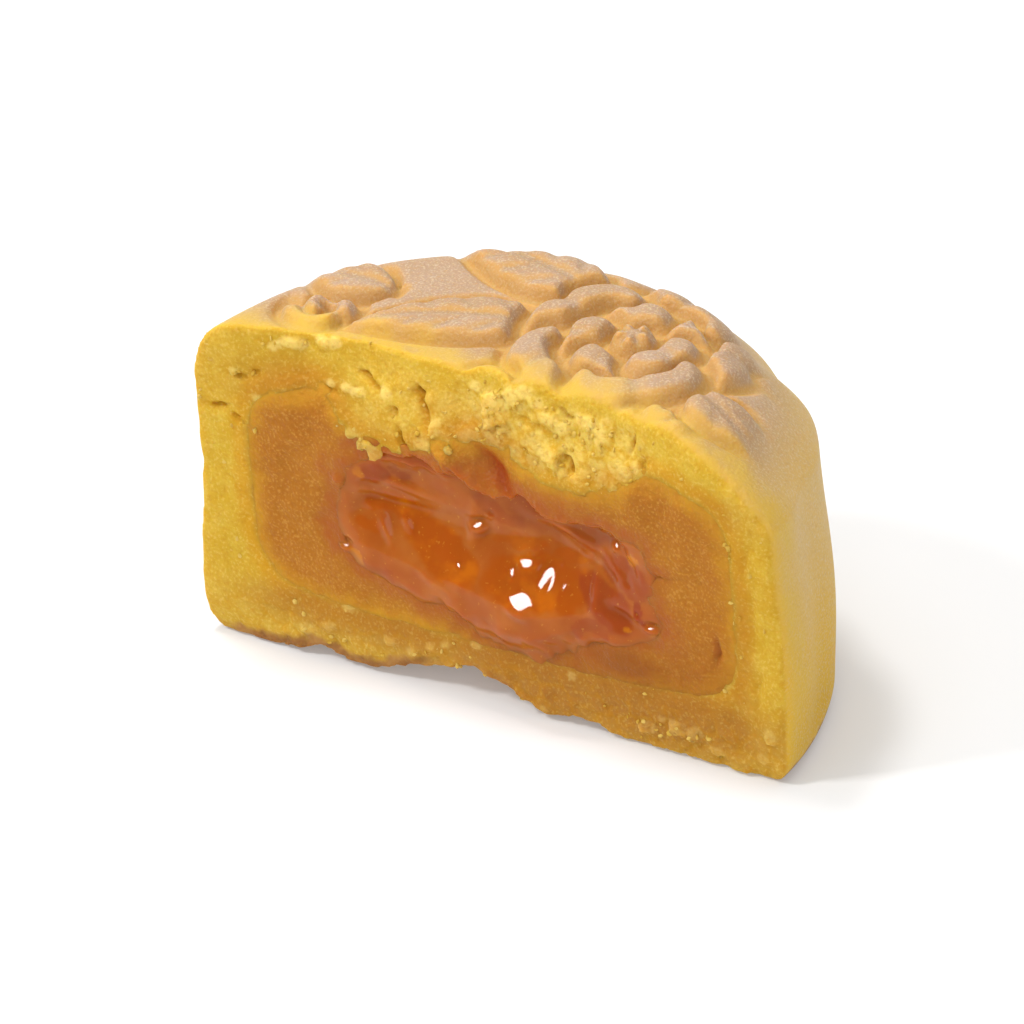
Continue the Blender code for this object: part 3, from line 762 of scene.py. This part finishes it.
class Finish:
    def __init__(self, name):
        self.material = bpy.data.materials.new(name)
        self.material.use_nodes = True
        self.tree = self.material.node_tree
        self.shader = self.tree.nodes["Principled BSDF"]
        self.place = self.node("ShaderNodeTexCoord", {}, {}, "Object")

    def node(self, kind, settings, inputs, output=0):
        return treeNode(self.tree, kind, settings, inputs, output)

    def shares(self, *names):
        return [self.node("ShaderNodeAttribute", {"attribute_name": name}, {}, "Fac") for name in names]

    def noise(self, size, detail=2.0):
        inputs = {"Vector": self.place, "Scale": 1.0 / (size * mm), "Detail": detail}
        return self.node("ShaderNodeTexNoise", {}, inputs)

    def cells(self, size):
        inputs = {"Vector": self.place, "Scale": 1.0 / (size * mm)}
        return self.node("ShaderNodeTexVoronoi", {}, inputs, "Distance")

    def blend(self, share, first, second):
        inputs = {0: share, 6: first, 7: second}
        return self.node("ShaderNodeMix", {"data_type": "RGBA"}, inputs, 2)

    def layers(self, colour, *coats):
        for share, tone in coats:
            colour = self.blend(share, colour, tone)
        return colour

    def bump(self, height, distance, strength, under=None):
        inputs = {"Height": height, "Distance": distance * mm, "Strength": strength}
        if under:
            inputs["Normal"] = under
        return self.node("ShaderNodeBump", {}, inputs)

    def done(self, **inputs):
        for key, value in inputs.items():
            plug(self.tree, self.shader.inputs[key.replace("_", " ")], value)
        return self.material


# tones are linear red, green and blue
crustTones = {
    "torn": ((0.565, 0.345, 0.020), (0.61, 0.40, 0.040)), "warm": (0.545, 0.31, 0.016),
    "seam": (0.57, 0.27, 0.006), "soak": (0.405, 0.158, 0.011), "soakShade": (0.32, 0.115, 0.009),
    # deep is a painted warm shade in tears and cracks; pale is partly a painted highlight
    "shade": (0.44, 0.215, 0.035), "pale": (0.86, 0.67, 0.21), "deep": (0.60, 0.29, 0.006),
    "grainLight": (0.76, 0.55, 0.14), "grainDark": (0.47, 0.20, 0.006),
    "side": ((0.64, 0.41, 0.12), (0.65, 0.375, 0.014)),
    # groove also serves as painted shade on the top's slopes that face the front
    "toasted": ((0.430, 0.285, 0.185), (0.415, 0.260, 0.145)), "groove": (0.60, 0.32, 0.055),
    # brink is partly the torn dough and partly a painted glow of light through the thin edge
    "specks": (0.66, 0.53, 0.36), "pores": (0.50, 0.27, 0.07), "brink": (0.64, 0.405, 0.050),
    "foot": ((0.28, 0.12, 0.03), (0.42, 0.21, 0.055)),
}


def crustFinish():
    f, tone = Finish("crust_baked"), crustTones
    skin, groove, brink, low, crown, foot = f.shares("skin", "groove", "brink", "low", "crown", "foot")
    soak, seam, shade, pale, deep = f.shares("soak", "seam", "shade", "pale", "deep")
    broad, middle, fine = f.noise(4.5, 2.0), f.noise(1.3, 3.0), f.noise(0.24, 3.0)
    torn = f.layers(
        f.blend(middle.ramp(0.35, 0.7), *tone["torn"]),
        (broad.ramp(0.45, 0.7) * 0.5, tone["warm"]),
        (seam * 0.7, tone["seam"]),
        (soak * (0.85 + broad.ramp(0.3, 0.6) * 0.15), tone["soak"]),
        (shade * 0.35, tone["shade"]),
        (shade * soak, tone["soakShade"]),
        # paler flakes and chips: partly their own colour, partly a painted highlight
        (pale * middle.ramp(0.25, 0.5), tone["pale"]),
        # painted warm shade in tears and cracks
        (deep * 0.7, tone["deep"]),
        (fine.ramp(0.50, 0.70) * (0.32 - soak * 0.16), tone["grainLight"]),
        (fine.ramp(0.46, 0.30) * 0.30, tone["grainDark"]),
    )
    toasted = f.blend(broad.ramp(0.35, 0.65), *tone["toasted"])
    baked = f.layers(
        f.blend(crown, f.blend(low, *tone["side"]), toasted),
        # groove colour, also painted shade on the top's slopes that face the front
        (groove * 0.70, tone["groove"]),
        (f.noise(0.17, 1.0).ramp(0.50, 0.68) * (1.0 - groove * 0.7) * 0.45, tone["specks"]),
        (f.noise(0.3, 1.0).ramp(0.44, 0.26) * 0.35, tone["pores"]),
        # yellow along the break's edge: partly torn dough, partly a painted glow of light through it
        (brink * (0.7 + middle.ramp(0.3, 0.6) * 0.3), tone["brink"]),
    )
    base = f.blend(middle.ramp(0.3, 0.7), *tone["foot"])
    colour = f.blend(foot * middle.ramp(0.1, 0.35), f.blend(skin, torn, baked), base)
    grain = f.bump(fine, 0.12, 0.6)
    grain = f.bump(f.cells(0.42).ramp(0.1, 0.7) * (1.0 - skin * 0.6) + middle, 0.12, 0.4, grain)
    rough = 0.66 - skin * 0.18 + fine * 0.12
    return f.done(
        Base_Color=colour, Roughness=rough, Normal=grain, Subsurface_Weight=0.6,
        Subsurface_Radius=(1.0, 0.6, 0.25), Subsurface_Scale=1.2 * mm, Specular_IOR_Level=0.18,
    )


def crumbFinish():
    f = Finish("crumb_pale")
    colour = f.blend(f.noise(0.9, 2.0).ramp(0.35, 0.65), *crumbs["tones"])
    return f.done(
        Base_Color=colour, Roughness=0.7, Normal=f.bump(f.noise(0.12, 1.0), 0.04, 0.5),
        Specular_IOR_Level=0.15,
    )


custardTones = {
    "body": ((0.385, 0.136, 0.0075), (0.420, 0.157, 0.011)), "grainLight": (0.62, 0.32, 0.06),
    "grainDark": (0.34, 0.105, 0.004), "smear": (0.54, 0.255, 0.012), "wet": (0.37, 0.095, 0.008),
    # recess is lava stain with painted shade
    "shade": (0.30, 0.090, 0.006), "recess": (0.34, 0.050, 0.002),
}


def custardFinish():
    f, tone = Finish("custard_paste"), custardTones
    wet, smear, shade, recess = f.shares("wet", "smear", "shade", "recess")
    broad, middle, fine = f.noise(5.0, 2.0), f.noise(1.1, 3.0), f.noise(0.22, 3.0)
    body = f.layers(
        f.blend(broad.ramp(0.3, 0.7), *tone["body"]),
        (fine.ramp(0.50, 0.70) * 0.45, tone["grainLight"]),
        (fine.ramp(0.46, 0.30) * 0.35, tone["grainDark"]),
        (smear * (0.5 + middle.ramp(0.25, 0.6) * 0.4), tone["smear"]),
        (wet * (0.6 + middle.ramp(0.3, 0.6) * 0.4), tone["wet"]),
        (shade * 0.7, tone["shade"]),
        # dark red in the recess: lava stain and painted shade
        (recess * 0.95, tone["recess"]),
    )
    crumb = f.cells(0.45).ramp(0.1, 0.75) * (1.0 - wet * 0.6) + middle
    grain = f.bump(fine, 0.12, 0.65)
    grain = f.bump(crumb, 0.13, 0.45, grain)
    rough = 0.6 - wet * 0.30 + fine * 0.1
    return f.done(
        Base_Color=body, Roughness=rough, Normal=grain, Subsurface_Weight=0.6,
        Subsurface_Radius=(1.0, 0.5, 0.15), Subsurface_Scale=1.2 * mm, Specular_IOR_Level=0.18,
    )


lavaTones = {
    # skin is a painted milky reflection of the pale floor, clear the deep orange where none is painted
    "skin": ((0.38, 0.088, 0.007), (0.44, 0.125, 0.015)), "clear": (0.395, 0.080, 0.001),
    # the darker red-brown tone is partly painted shade
    "bright": (0.56, 0.145, 0.001), "darkAndShaded": (0.30, 0.045, 0.006), "pocket": (0.75, 0.30, 0.004),
    "shore": (0.40, 0.105, 0.010), "specks": (0.62, 0.28, 0.03),
}


def lavaFinish():
    f, tone = Finish("lava_yolk"), lavaTones
    clear, darkAndShaded, shore, pocket = f.shares("clear", "darkAndShaded", "shore", "pocket")
    streaks = f.noise(2.6, 3.0)
    # painted milky reflection over the pool, taken away in the clear windows
    colour = f.layers(
        f.blend(streaks.ramp(0.35, 0.7), *tone["skin"]),
        (clear, tone["clear"]),
        (clear * streaks.ramp(0.5, 0.7) * 0.7, tone["bright"]),
        # darker patches, partly painted shade
        (darkAndShaded, tone["darkAndShaded"]),
        (pocket, tone["pocket"]),
        (shore * 0.7, tone["shore"]),
        (f.noise(0.3, 1.0).ramp(0.68, 0.76) * 0.35, tone["specks"]),
    )
    ripple = f.bump(f.noise(1.3, 2.0), 0.05, 0.3)
    rough = 0.05 + shore * 0.12
    return f.done(
        Base_Color=colour, Roughness=rough, Normal=ripple, Subsurface_Weight=0.6,
        Subsurface_Radius=(1.0, 0.3, 0.06), Subsurface_Scale=2.0 * mm, Specular_IOR_Level=0.20,
    )


# the crust

soaked = [  # where the broken crust has taken up the paste: across, up, half width, half height, share
    (-15.2, 20.7, 5.0, 2.6, 0.72), (-9.0, 19.5, 4.0, 2.2, 0.35), (-4.6, 18.6, 2.4, 2.0, 0.5),
    (0.3, 20.2, 3.6, 2.5, 0.9), (-2.5, 22.0, 3.0, 1.6, 0.35), (-14.0, 3.9, 6.5, 1.8, 0.7),
    (-8.0, 4.2, 6.0, 2.2, 0.85), (3.6, 3.4, 9.5, 3.6, 1.0), (13.0, 3.4, 10.0, 3.2, 1.0),
    (19.5, 3.2, 3.0, 2.6, 0.8), (21.2, 9.0, 1.3, 9.0, 0.6), (19.0, 20.0, 3.4, 1.8, 0.5),
    (3.8, 20.3, 2.0, 2.0, 0.45), (12.0, 20.2, 3.0, 1.2, 0.5),
]


crumbPatches = [  # across, up, half width, half height
    (-20.0, 21.6, 2.2, 0.5), (-10.0, 19.0, 2.0, 0.8), (-9.0, 18.2, 1.2, 0.6), (2.0, 23.5, 2.0, 1.2),
    (9.0, 22.6, 3.0, 1.2), (12.8, 21.4, 1.2, 0.8), (16.4, 2.2, 2.4, 0.8), (-8.0, 2.6, 7.0, 0.9),
    (13.5, 1.6, 2.0, 0.7), (20.4, 13.0, 0.6, 6.0), (-19.2, 18.0, 0.6, 2.0), (-17.0, 24.2, 2.0, 0.4),
]


# where fine crumbs cling to the break, 0 to 1
def crumbShare(x, z, loose):
    share = 0.02 + 0.22 * loose * smooth(6.0, 12.0, z) + 0.08 * loose
    for atX, atZ, wide, high in crumbPatches:
        share = np.maximum(share, np.exp(-(((x - atX) / wide) ** 2) - ((z - atZ) / high) ** 2))
    return share * (0.45 + 0.55 * smooth(4.0, 10.0, z))


def crustField(x, y, z):
    whole = cakeInside(x, y, z)
    face = breakInside(x, y, z)
    edge = footHeight(x, y)
    foot = (z - edge) * 0.9
    near = y[0, :, 0] < breakY + 5.5
    foot[:, near] -= 0.22 * lumps(x, y[:, near], z, 1.1, 8) * smooth(0.05, 0.5, edge[:, near])
    room = pasteInside(x, y, z)
    room[:, near] += 0.22 * lumps(x, y[:, near], z, 1.7, 16) + 0.12 * lumps(x, y[:, near], z, 0.75, 17)
    crisp, worn = cake["edge"]
    soft = worn * smooth(0.0, 20.0, x) * smooth(0.5, 3.0, z) + crisp
    body = np.minimum(whole, face) - np.clip(soft - np.abs(whole - face), 0.0, None) ** 2 / (4.0 * soft)
    return addChips(np.minimum(body, np.minimum(foot, -room)), x, y, z)


def finishCrust(piece):
    pullStrays(piece.data)
    px, py, pz = pointsOf(piece.data).T
    fromAxis = (py - axisY) / cake["backStretch"]
    behind = py - breakY - faceDepth(px, pz)
    skin = smooth(0.40, 0.15, cakeInside(px, py, pz)) * smooth(0.0, 0.45, behind)
    facing = np.empty(len(px) * 3, np.float32)
    piece.data.vertices.foreach_get("normal", facing)
    facing = facing.reshape(-1, 3)
    # painted shade: the top's slopes that face the front get the groove's ochre
    front = smooth(0.12, 0.55, 0.35 * facing[:, 0] - facing[:, 1]) * smooth(20.5, 22.5, pz)
    height = relief(px, fromAxis)
    groove = smooth(0.05, -0.45, height) * smooth(*pattern["rimFade"], np.hypot(px, fromAxis))
    groove = np.maximum(groove, 0.85 * front)
    # yellow along the break's edge: partly torn dough, partly a painted glow of light through the thin
    # edge
    brink = smooth(4.0, 0.2, behind + 1.2 * lumps(px, py, pz, 2.2, 26)) * smooth(19.0, 22.0, pz)
    beside = smooth(5.0, 0.3, behind + 1.5 * lumps(px, py, pz, 3.0, 37)) * smooth(10.0, 20.0, px)
    brink = np.maximum(0.9 * brink, np.maximum(0.6 * smooth(1.6, 0.1, behind), 0.85 * beside))
    outside = -pasteInside(px, py, pz) + 0.35 * lumps(px, py, pz, 1.6, 27)
    soak = 0.9 * smooth(0.9, -0.4, outside)
    seam = smooth(0.1, 0.6, outside) * smooth(2.0, 0.9, outside)
    for atX, atZ, wide, high, strength in soaked:
        away = ((px - atX) / wide) ** 2 + ((pz - atZ) / high) ** 2
        soak = np.maximum(soak, strength * np.exp(-(away**1.5)))
    loose = crumbliness(px, pz)
    edge = flakeDepth(px, pz)[1]
    # painted warm shade in the tears and in the cracks between flakes
    deep = np.maximum(np.clip(tearDepth(px, pz, tears) / 0.5, 0.0, 1.0), 0.5 * loose * edge)
    # flake faces and chips painted paler: partly their own colour, partly a painted highlight
    pale = loose * (1.0 - edge) * (0.06 + 0.26 * smooth(18.0, 21.0, pz))
    ragged = lumps(px, py, pz, 0.8, 41)
    for atX, atZ, wide, high, lean in chips:
        far = np.hypot((px - atX) / (wide + 0.1), (pz - atZ) / (high + 0.1)) + 0.45 * ragged
        pale = np.maximum(pale, (0.25 + 0.3 * smooth(18.5, 22.5, atZ)) * smooth(1.25, 0.75, far))
    onBase = smooth(1.1, 0.5, pz - footHeight(px, py) + 0.35 * ragged)
    baseLine = smooth(-3.0, -7.0, px) * smooth(-23.5, -22.0, px)
    onBreak = smooth(1.0, 0.4, np.abs(behind)) * (1.0 - skin) * smooth(0.4, 0.9, pz)
    fresh = smooth(2.5, 1.0, behind)
    setShares(
        piece, skin=skin, groove=groove, brink=brink, seam=seam, soak=soak, deep=deep * fresh,
        pale=pale * fresh, crown=smooth(19.0, 24.5, pz), low=smooth(17.0, 5.0, pz),
        foot=onBase * np.maximum(smooth(0.0, 0.8, py - breakY), baseLine),
        crumbs=crumbShare(px, pz, loose) * onBreak,
        shade=smooth(7.5, 2.0, pz) * (0.60 + 0.20 * smooth(-8.0, 8.0, px)),
    )
    piece.data.materials.append(crustFinish())


def crustHidden(x, y, z):
    under = smooth(0.6, 0.2, np.abs(pasteInside(x, y, z))) * smooth(breakY + 1.6, breakY + 2.4, y)
    return np.maximum(under, smooth(0.3, 0.1, z) * smooth(breakY + 4.5, breakY + 5.5, y))


crustPiece = makePiece("crustBody", "crust", crustField, cake, crustHidden, finishCrust)
print("crust", countTriangles(crustPiece), round(time.time() - startTime, 1))


# fine crumbs clinging to the torn dough

crumbs = {
    "size": 0.12, "smallest": 0.25, "largest": 2.1, "perSquareMm": 2.4, "seed": 5,
    "tones": ((0.55, 0.33, 0.035), (0.66, 0.46, 0.11)),
}


def crumbTree():
    tree = bpy.data.node_groups.new("crumbScatter", "GeometryNodeTree")
    face = tree.interface
    face.new_socket(name="Geometry", in_out="OUTPUT", socket_type="NodeSocketGeometry")
    face.new_socket(name="Geometry", in_out="INPUT", socket_type="NodeSocketGeometry")
    inputs = {"Crumb Radius": "Float", "Density": "Float", "Seed": "Int", "Finish": "Material"}
    for label, kind in inputs.items():
        face.new_socket(name=label, in_out="INPUT", socket_type="NodeSocket" + kind)
    into = tree.nodes.new("NodeGroupInput")
    torn, radius, density, seed, finish = (Wire(tree, into.outputs[k]) for k in range(5))
    share = treeNode(tree, "GeometryNodeInputNamedAttribute", {"data_type": "FLOAT"}, {"Name": "crumbs"})
    spots = treeNode(
        tree, "GeometryNodeDistributePointsOnFaces", {"distribute_method": "RANDOM"},
        {"Mesh": torn, "Density": share * density, "Seed": seed}, "Points",
    )
    grain = treeNode(tree, "GeometryNodeMeshIcoSphere", {}, {"Radius": radius, "Subdivisions": 1})

    def random(low, high, seed):
        inputs = {0: (low,) * 3, 1: (high,) * 3, "Seed": seed}
        return treeNode(tree, "FunctionNodeRandomValue", {"data_type": "FLOAT_VECTOR"}, inputs)

    size = random(crumbs["smallest"], crumbs["largest"], seed)
    turn = random(0.0, 6.28, seed + 1)
    placed = treeNode(
        tree, "GeometryNodeInstanceOnPoints", {},
        {"Points": spots, "Instance": grain, "Rotation": turn, "Scale": size},
    )
    solid = treeNode(tree, "GeometryNodeRealizeInstances", {}, {0: placed})
    finished = treeNode(tree, "GeometryNodeSetMaterial", {}, {"Geometry": solid, "Material": finish})
    out = tree.nodes.new("NodeGroupOutput")
    plug(tree, out.inputs[0], finished)
    return tree


def makeCrumbs():
    piece = newObject("crustCrumbs", crustPiece.data.copy())
    scatter = piece.modifiers.new("scatter", "NODES")
    scatter.node_group = crumbTree()
    values = {
        "Crumb Radius": crumbs["size"] * mm, "Density": crumbs["perSquareMm"] / mm**2,
        "Seed": crumbs["seed"], "Finish": crumbFinish(),
    }
    for item in scatter.node_group.interface.items_tree:
        if item.in_out == "INPUT" and item.name in values:
            scatter[item.identifier] = values[item.name]
    graph = bpy.context.evaluated_depsgraph_get()
    made = bpy.data.meshes.new_from_object(piece.evaluated_get(graph))
    piece.modifiers.remove(scatter)
    piece.data = made
    made.name = piece.name
    made.shade_flat()
    declare(piece, "crust")
    return piece


crumbPiece = makeCrumbs()
print("crumbs", countTriangles(crumbPiece), round(time.time() - startTime, 1))


# the custard paste

stains = [  # across, up, half width, half height, share
    (9.6, 6.4, 4.4, 1.8, 1.0), (-11.0, 16.3, 2.0, 1.4, 0.7), (14.4, 14.2, 1.8, 1.2, 0.8),
    (13.0, 16.2, 2.4, 1.2, 0.7), (19.3, 9.2, 0.4, 1.4, 0.9), (6.0, 17.4, 5.0, 1.2, 0.7),
    (-6.0, 7.0, 5.5, 0.9, 0.55), (15.6, 9.6, 1.6, 2.6, 0.6), (-12.0, 12.0, 0.9, 2.6, 0.4),
]


def custardField(x, y, z):
    inside = pasteInside(x, y, z)
    face = breakInside(x, y, z, crust=False) - paste["sunk"] * smooth(0.0, -0.6, inside)
    return np.minimum(np.minimum(inside + paste["underCrust"], face), -lavaRoom(x, y, z))


def finishCustard(piece):
    px, py, pz = pointsOf(piece.data).T
    away = -shoreDistance(px, pz)[0]
    wet = smooth(1.9, 0.0, away + 0.8 * lumps(px, py, pz, 1.4, 13))
    for atX, atZ, wide, high, strength in stains:
        wet = np.maximum(wet, strength * smooth(1.2, 0.2, np.hypot((px - atX) / wide, (pz - atZ) / high)))
    smear = smooth(1.6, -0.4, pasteInside(px, py, pz) + 0.6 * lumps(px, py, pz, 1.5, 14))
    # the recess: lava stain with painted shade in the hollow
    atX, atZ, halfLength, halfWidth, lean = paste["recess"]
    along, across = turned(px - atX, pz - atZ, math.radians(lean))
    recess = smooth(1.6, 0.2, np.hypot(along / halfLength, across / halfWidth))
    shade = smooth(11.0, 3.5, pz) * smooth(-8.0, 10.0, px)
    # a painted shadow under the lava's lip, joined to the painted shade that darkens towards the bottom
    # and right
    atX, atZ, wide, high = paste["lipShadow"]
    shade = np.maximum(shade, 1.4 * smooth(1.5, 0.3, np.hypot((px - atX) / wide, (pz - atZ) / high)))
    setShares(piece, recess=recess, shade=shade, wet=wet, smear=smear)
    piece.data.materials.append(custardFinish())


def custardHidden(x, y, z):
    return smooth(1.1, 0.9, np.abs(pasteInside(x, y, z))) * smooth(breakY + 2.5, breakY + 4.0, y)


custardPiece = makePiece("custardPaste", "custard", custardField, paste, custardHidden, finishCustard)
print("custard", countTriangles(custardPiece), round(time.time() - startTime, 1))


# the lava

def finishLava(piece):
    px, py, pz = pointsOf(piece.data).T
    shore = shoreDistance(px, pz)[0] + 0.4 * lumps(px, 0.0, pz, 1.5, 15)
    setShares(piece, shore=smooth(0.9, 0.0, shore))
    slantX, slantZ = (v + shift * (py - breakY) for v, shift in zip((px, pz), lava["slant"]))
    slantX = slantX + 0.8 * lumps(px, 0.0, pz, 2.0, 28) + 0.3 * lumps(px, 0.0, pz, 0.7, 35)
    slantZ = slantZ + 0.5 * lumps(px, 0.0, pz, 1.6, 29) + 0.2 * lumps(px, 0.0, pz, 0.6, 36)
    # clear marks where no painted reflection lies; the darker patches are partly painted shade
    for name in ("clear", "darkAndShaded", "pocket"):
        share = np.zeros(len(px))
        for atX, atZ, wide, high, lean, strength in lava[name]:
            along, across = turned(slantX - atX, slantZ - atZ, math.radians(lean))
            share = np.maximum(share, strength * smooth(1.16, 0.86, np.hypot(along / wide, across / high)))
        setShares(piece, **{name: share})
    piece.data.materials.append(lavaFinish())


def lavaHidden(x, y, z):
    return smooth(breakY + 2.5, breakY + 3.5, y)


lavaPiece = makePiece("lavaPool", "lava", lavaInside, lava, lavaHidden, finishLava)
print("lava", countTriangles(lavaPiece), round(time.time() - startTime, 1))


# the studio

studio = {
    "target": (0.0, -5.25, 11.0), "azimuth": 36.36, "elevation": 28.2, "roll": -4.48,
    "distance": 621.6, "pixelsPerMm": 14.29, "centre": (532.5, 528.5), "pixels": 1024, "sensor": 36.0,
    # places and sizes of the lamps in metres, powers in watts
    "aim": (0.0, 0.0, 0.012),
    "lamps": {
        "ceiling": ((-0.05, 0.10, 0.78), 0.9, 2.8),
        "key": ((-0.13, 0.03, 0.46), 0.08, 0.85),
        "glint": ((-0.26, -0.24, 0.37), 0.085, 1.25),  # mirrored by the small tilted spots on the lava
        "fill": ((0.50, -0.55, 0.30), 0.5, 1.8),
    },
    "sky": 0.42, "floorTone": (0.66, 0.66, 0.66), "floorGlow": 0.20,
    "floorHalf": 2.0, "floorDrop": 0.0001,  # it lies just under the base, in metres
}


def makeCamera():
    az, el, roll = (math.radians(studio[k]) for k in ("azimuth", "elevation", "roll"))
    back = Vector((math.sin(az) * math.cos(el), -math.cos(az) * math.cos(el), math.sin(el)))
    right = Vector((math.cos(az), math.sin(az), 0.0))
    up = back.cross(right)
    right, up = right * math.cos(roll) + up * math.sin(roll), up * math.cos(roll) - right * math.sin(roll)
    scale = studio["pixelsPerMm"]
    middle = studio["pixels"] // 2
    aim = Vector(studio["target"]) - right * (studio["centre"][0] - middle) / scale
    aim += up * (studio["centre"][1] - middle) / scale
    data = bpy.data.cameras.new("camera")
    data.sensor_fit, data.sensor_width = "AUTO", studio["sensor"]
    data.lens = scale * studio["distance"] * studio["sensor"] / studio["pixels"]
    data.clip_start, data.clip_end = 0.01, 20.0
    camera = newObject("camera", data)
    camera.rotation_euler = Matrix((right, up, back)).transposed().to_euler()
    camera.location = (aim + back * studio["distance"]) * mm
    bpy.context.scene.camera = camera


def makeFloor():
    bm = bmesh.new()
    bmesh.ops.create_grid(bm, x_segments=1, y_segments=1, size=studio["floorHalf"])
    mesh = bpy.data.meshes.new("floor")
    bm.to_mesh(mesh)
    bm.free()
    floor = newObject("floor", mesh)
    floor.location.z = -studio["floorDrop"]
    f = Finish("floor_white")
    mesh.materials.append(f.done(
        Base_Color=studio["floorTone"], Roughness=0.8, Specular_IOR_Level=0.1,
        Emission_Color=(1.0, 1.0, 1.0), Emission_Strength=studio["floorGlow"],
    ))


def makeLamp(name, place, size, power):
    data = bpy.data.lights.new(name, "AREA")
    data.shape, data.size, data.energy = "SQUARE", size, power
    lamp = newObject(name, data)
    lamp.location = place
    lamp.rotation_mode = "QUATERNION"
    lamp.rotation_quaternion = (Vector(studio["aim"]) - Vector(place)).to_track_quat("-Z", "Y")


def makeWorld():
    world = bpy.data.worlds.new("studio")
    bpy.context.scene.world = world
    world.use_nodes = True
    sky = world.node_tree.nodes["Background"]
    sky.inputs["Color"].default_value = (1.0, 1.0, 1.0, 1.0)
    sky.inputs["Strength"].default_value = studio["sky"]
    bpy.context.scene.view_settings.view_transform = "Standard"
    bpy.context.scene.view_settings.look = "None"


makeCamera()
makeFloor()
for lampName, (lampPlace, lampSize, lampPower) in studio["lamps"].items():
    makeLamp(lampName, lampPlace, lampSize, lampPower)
makeWorld()
print("studio", round(time.time() - startTime, 1))
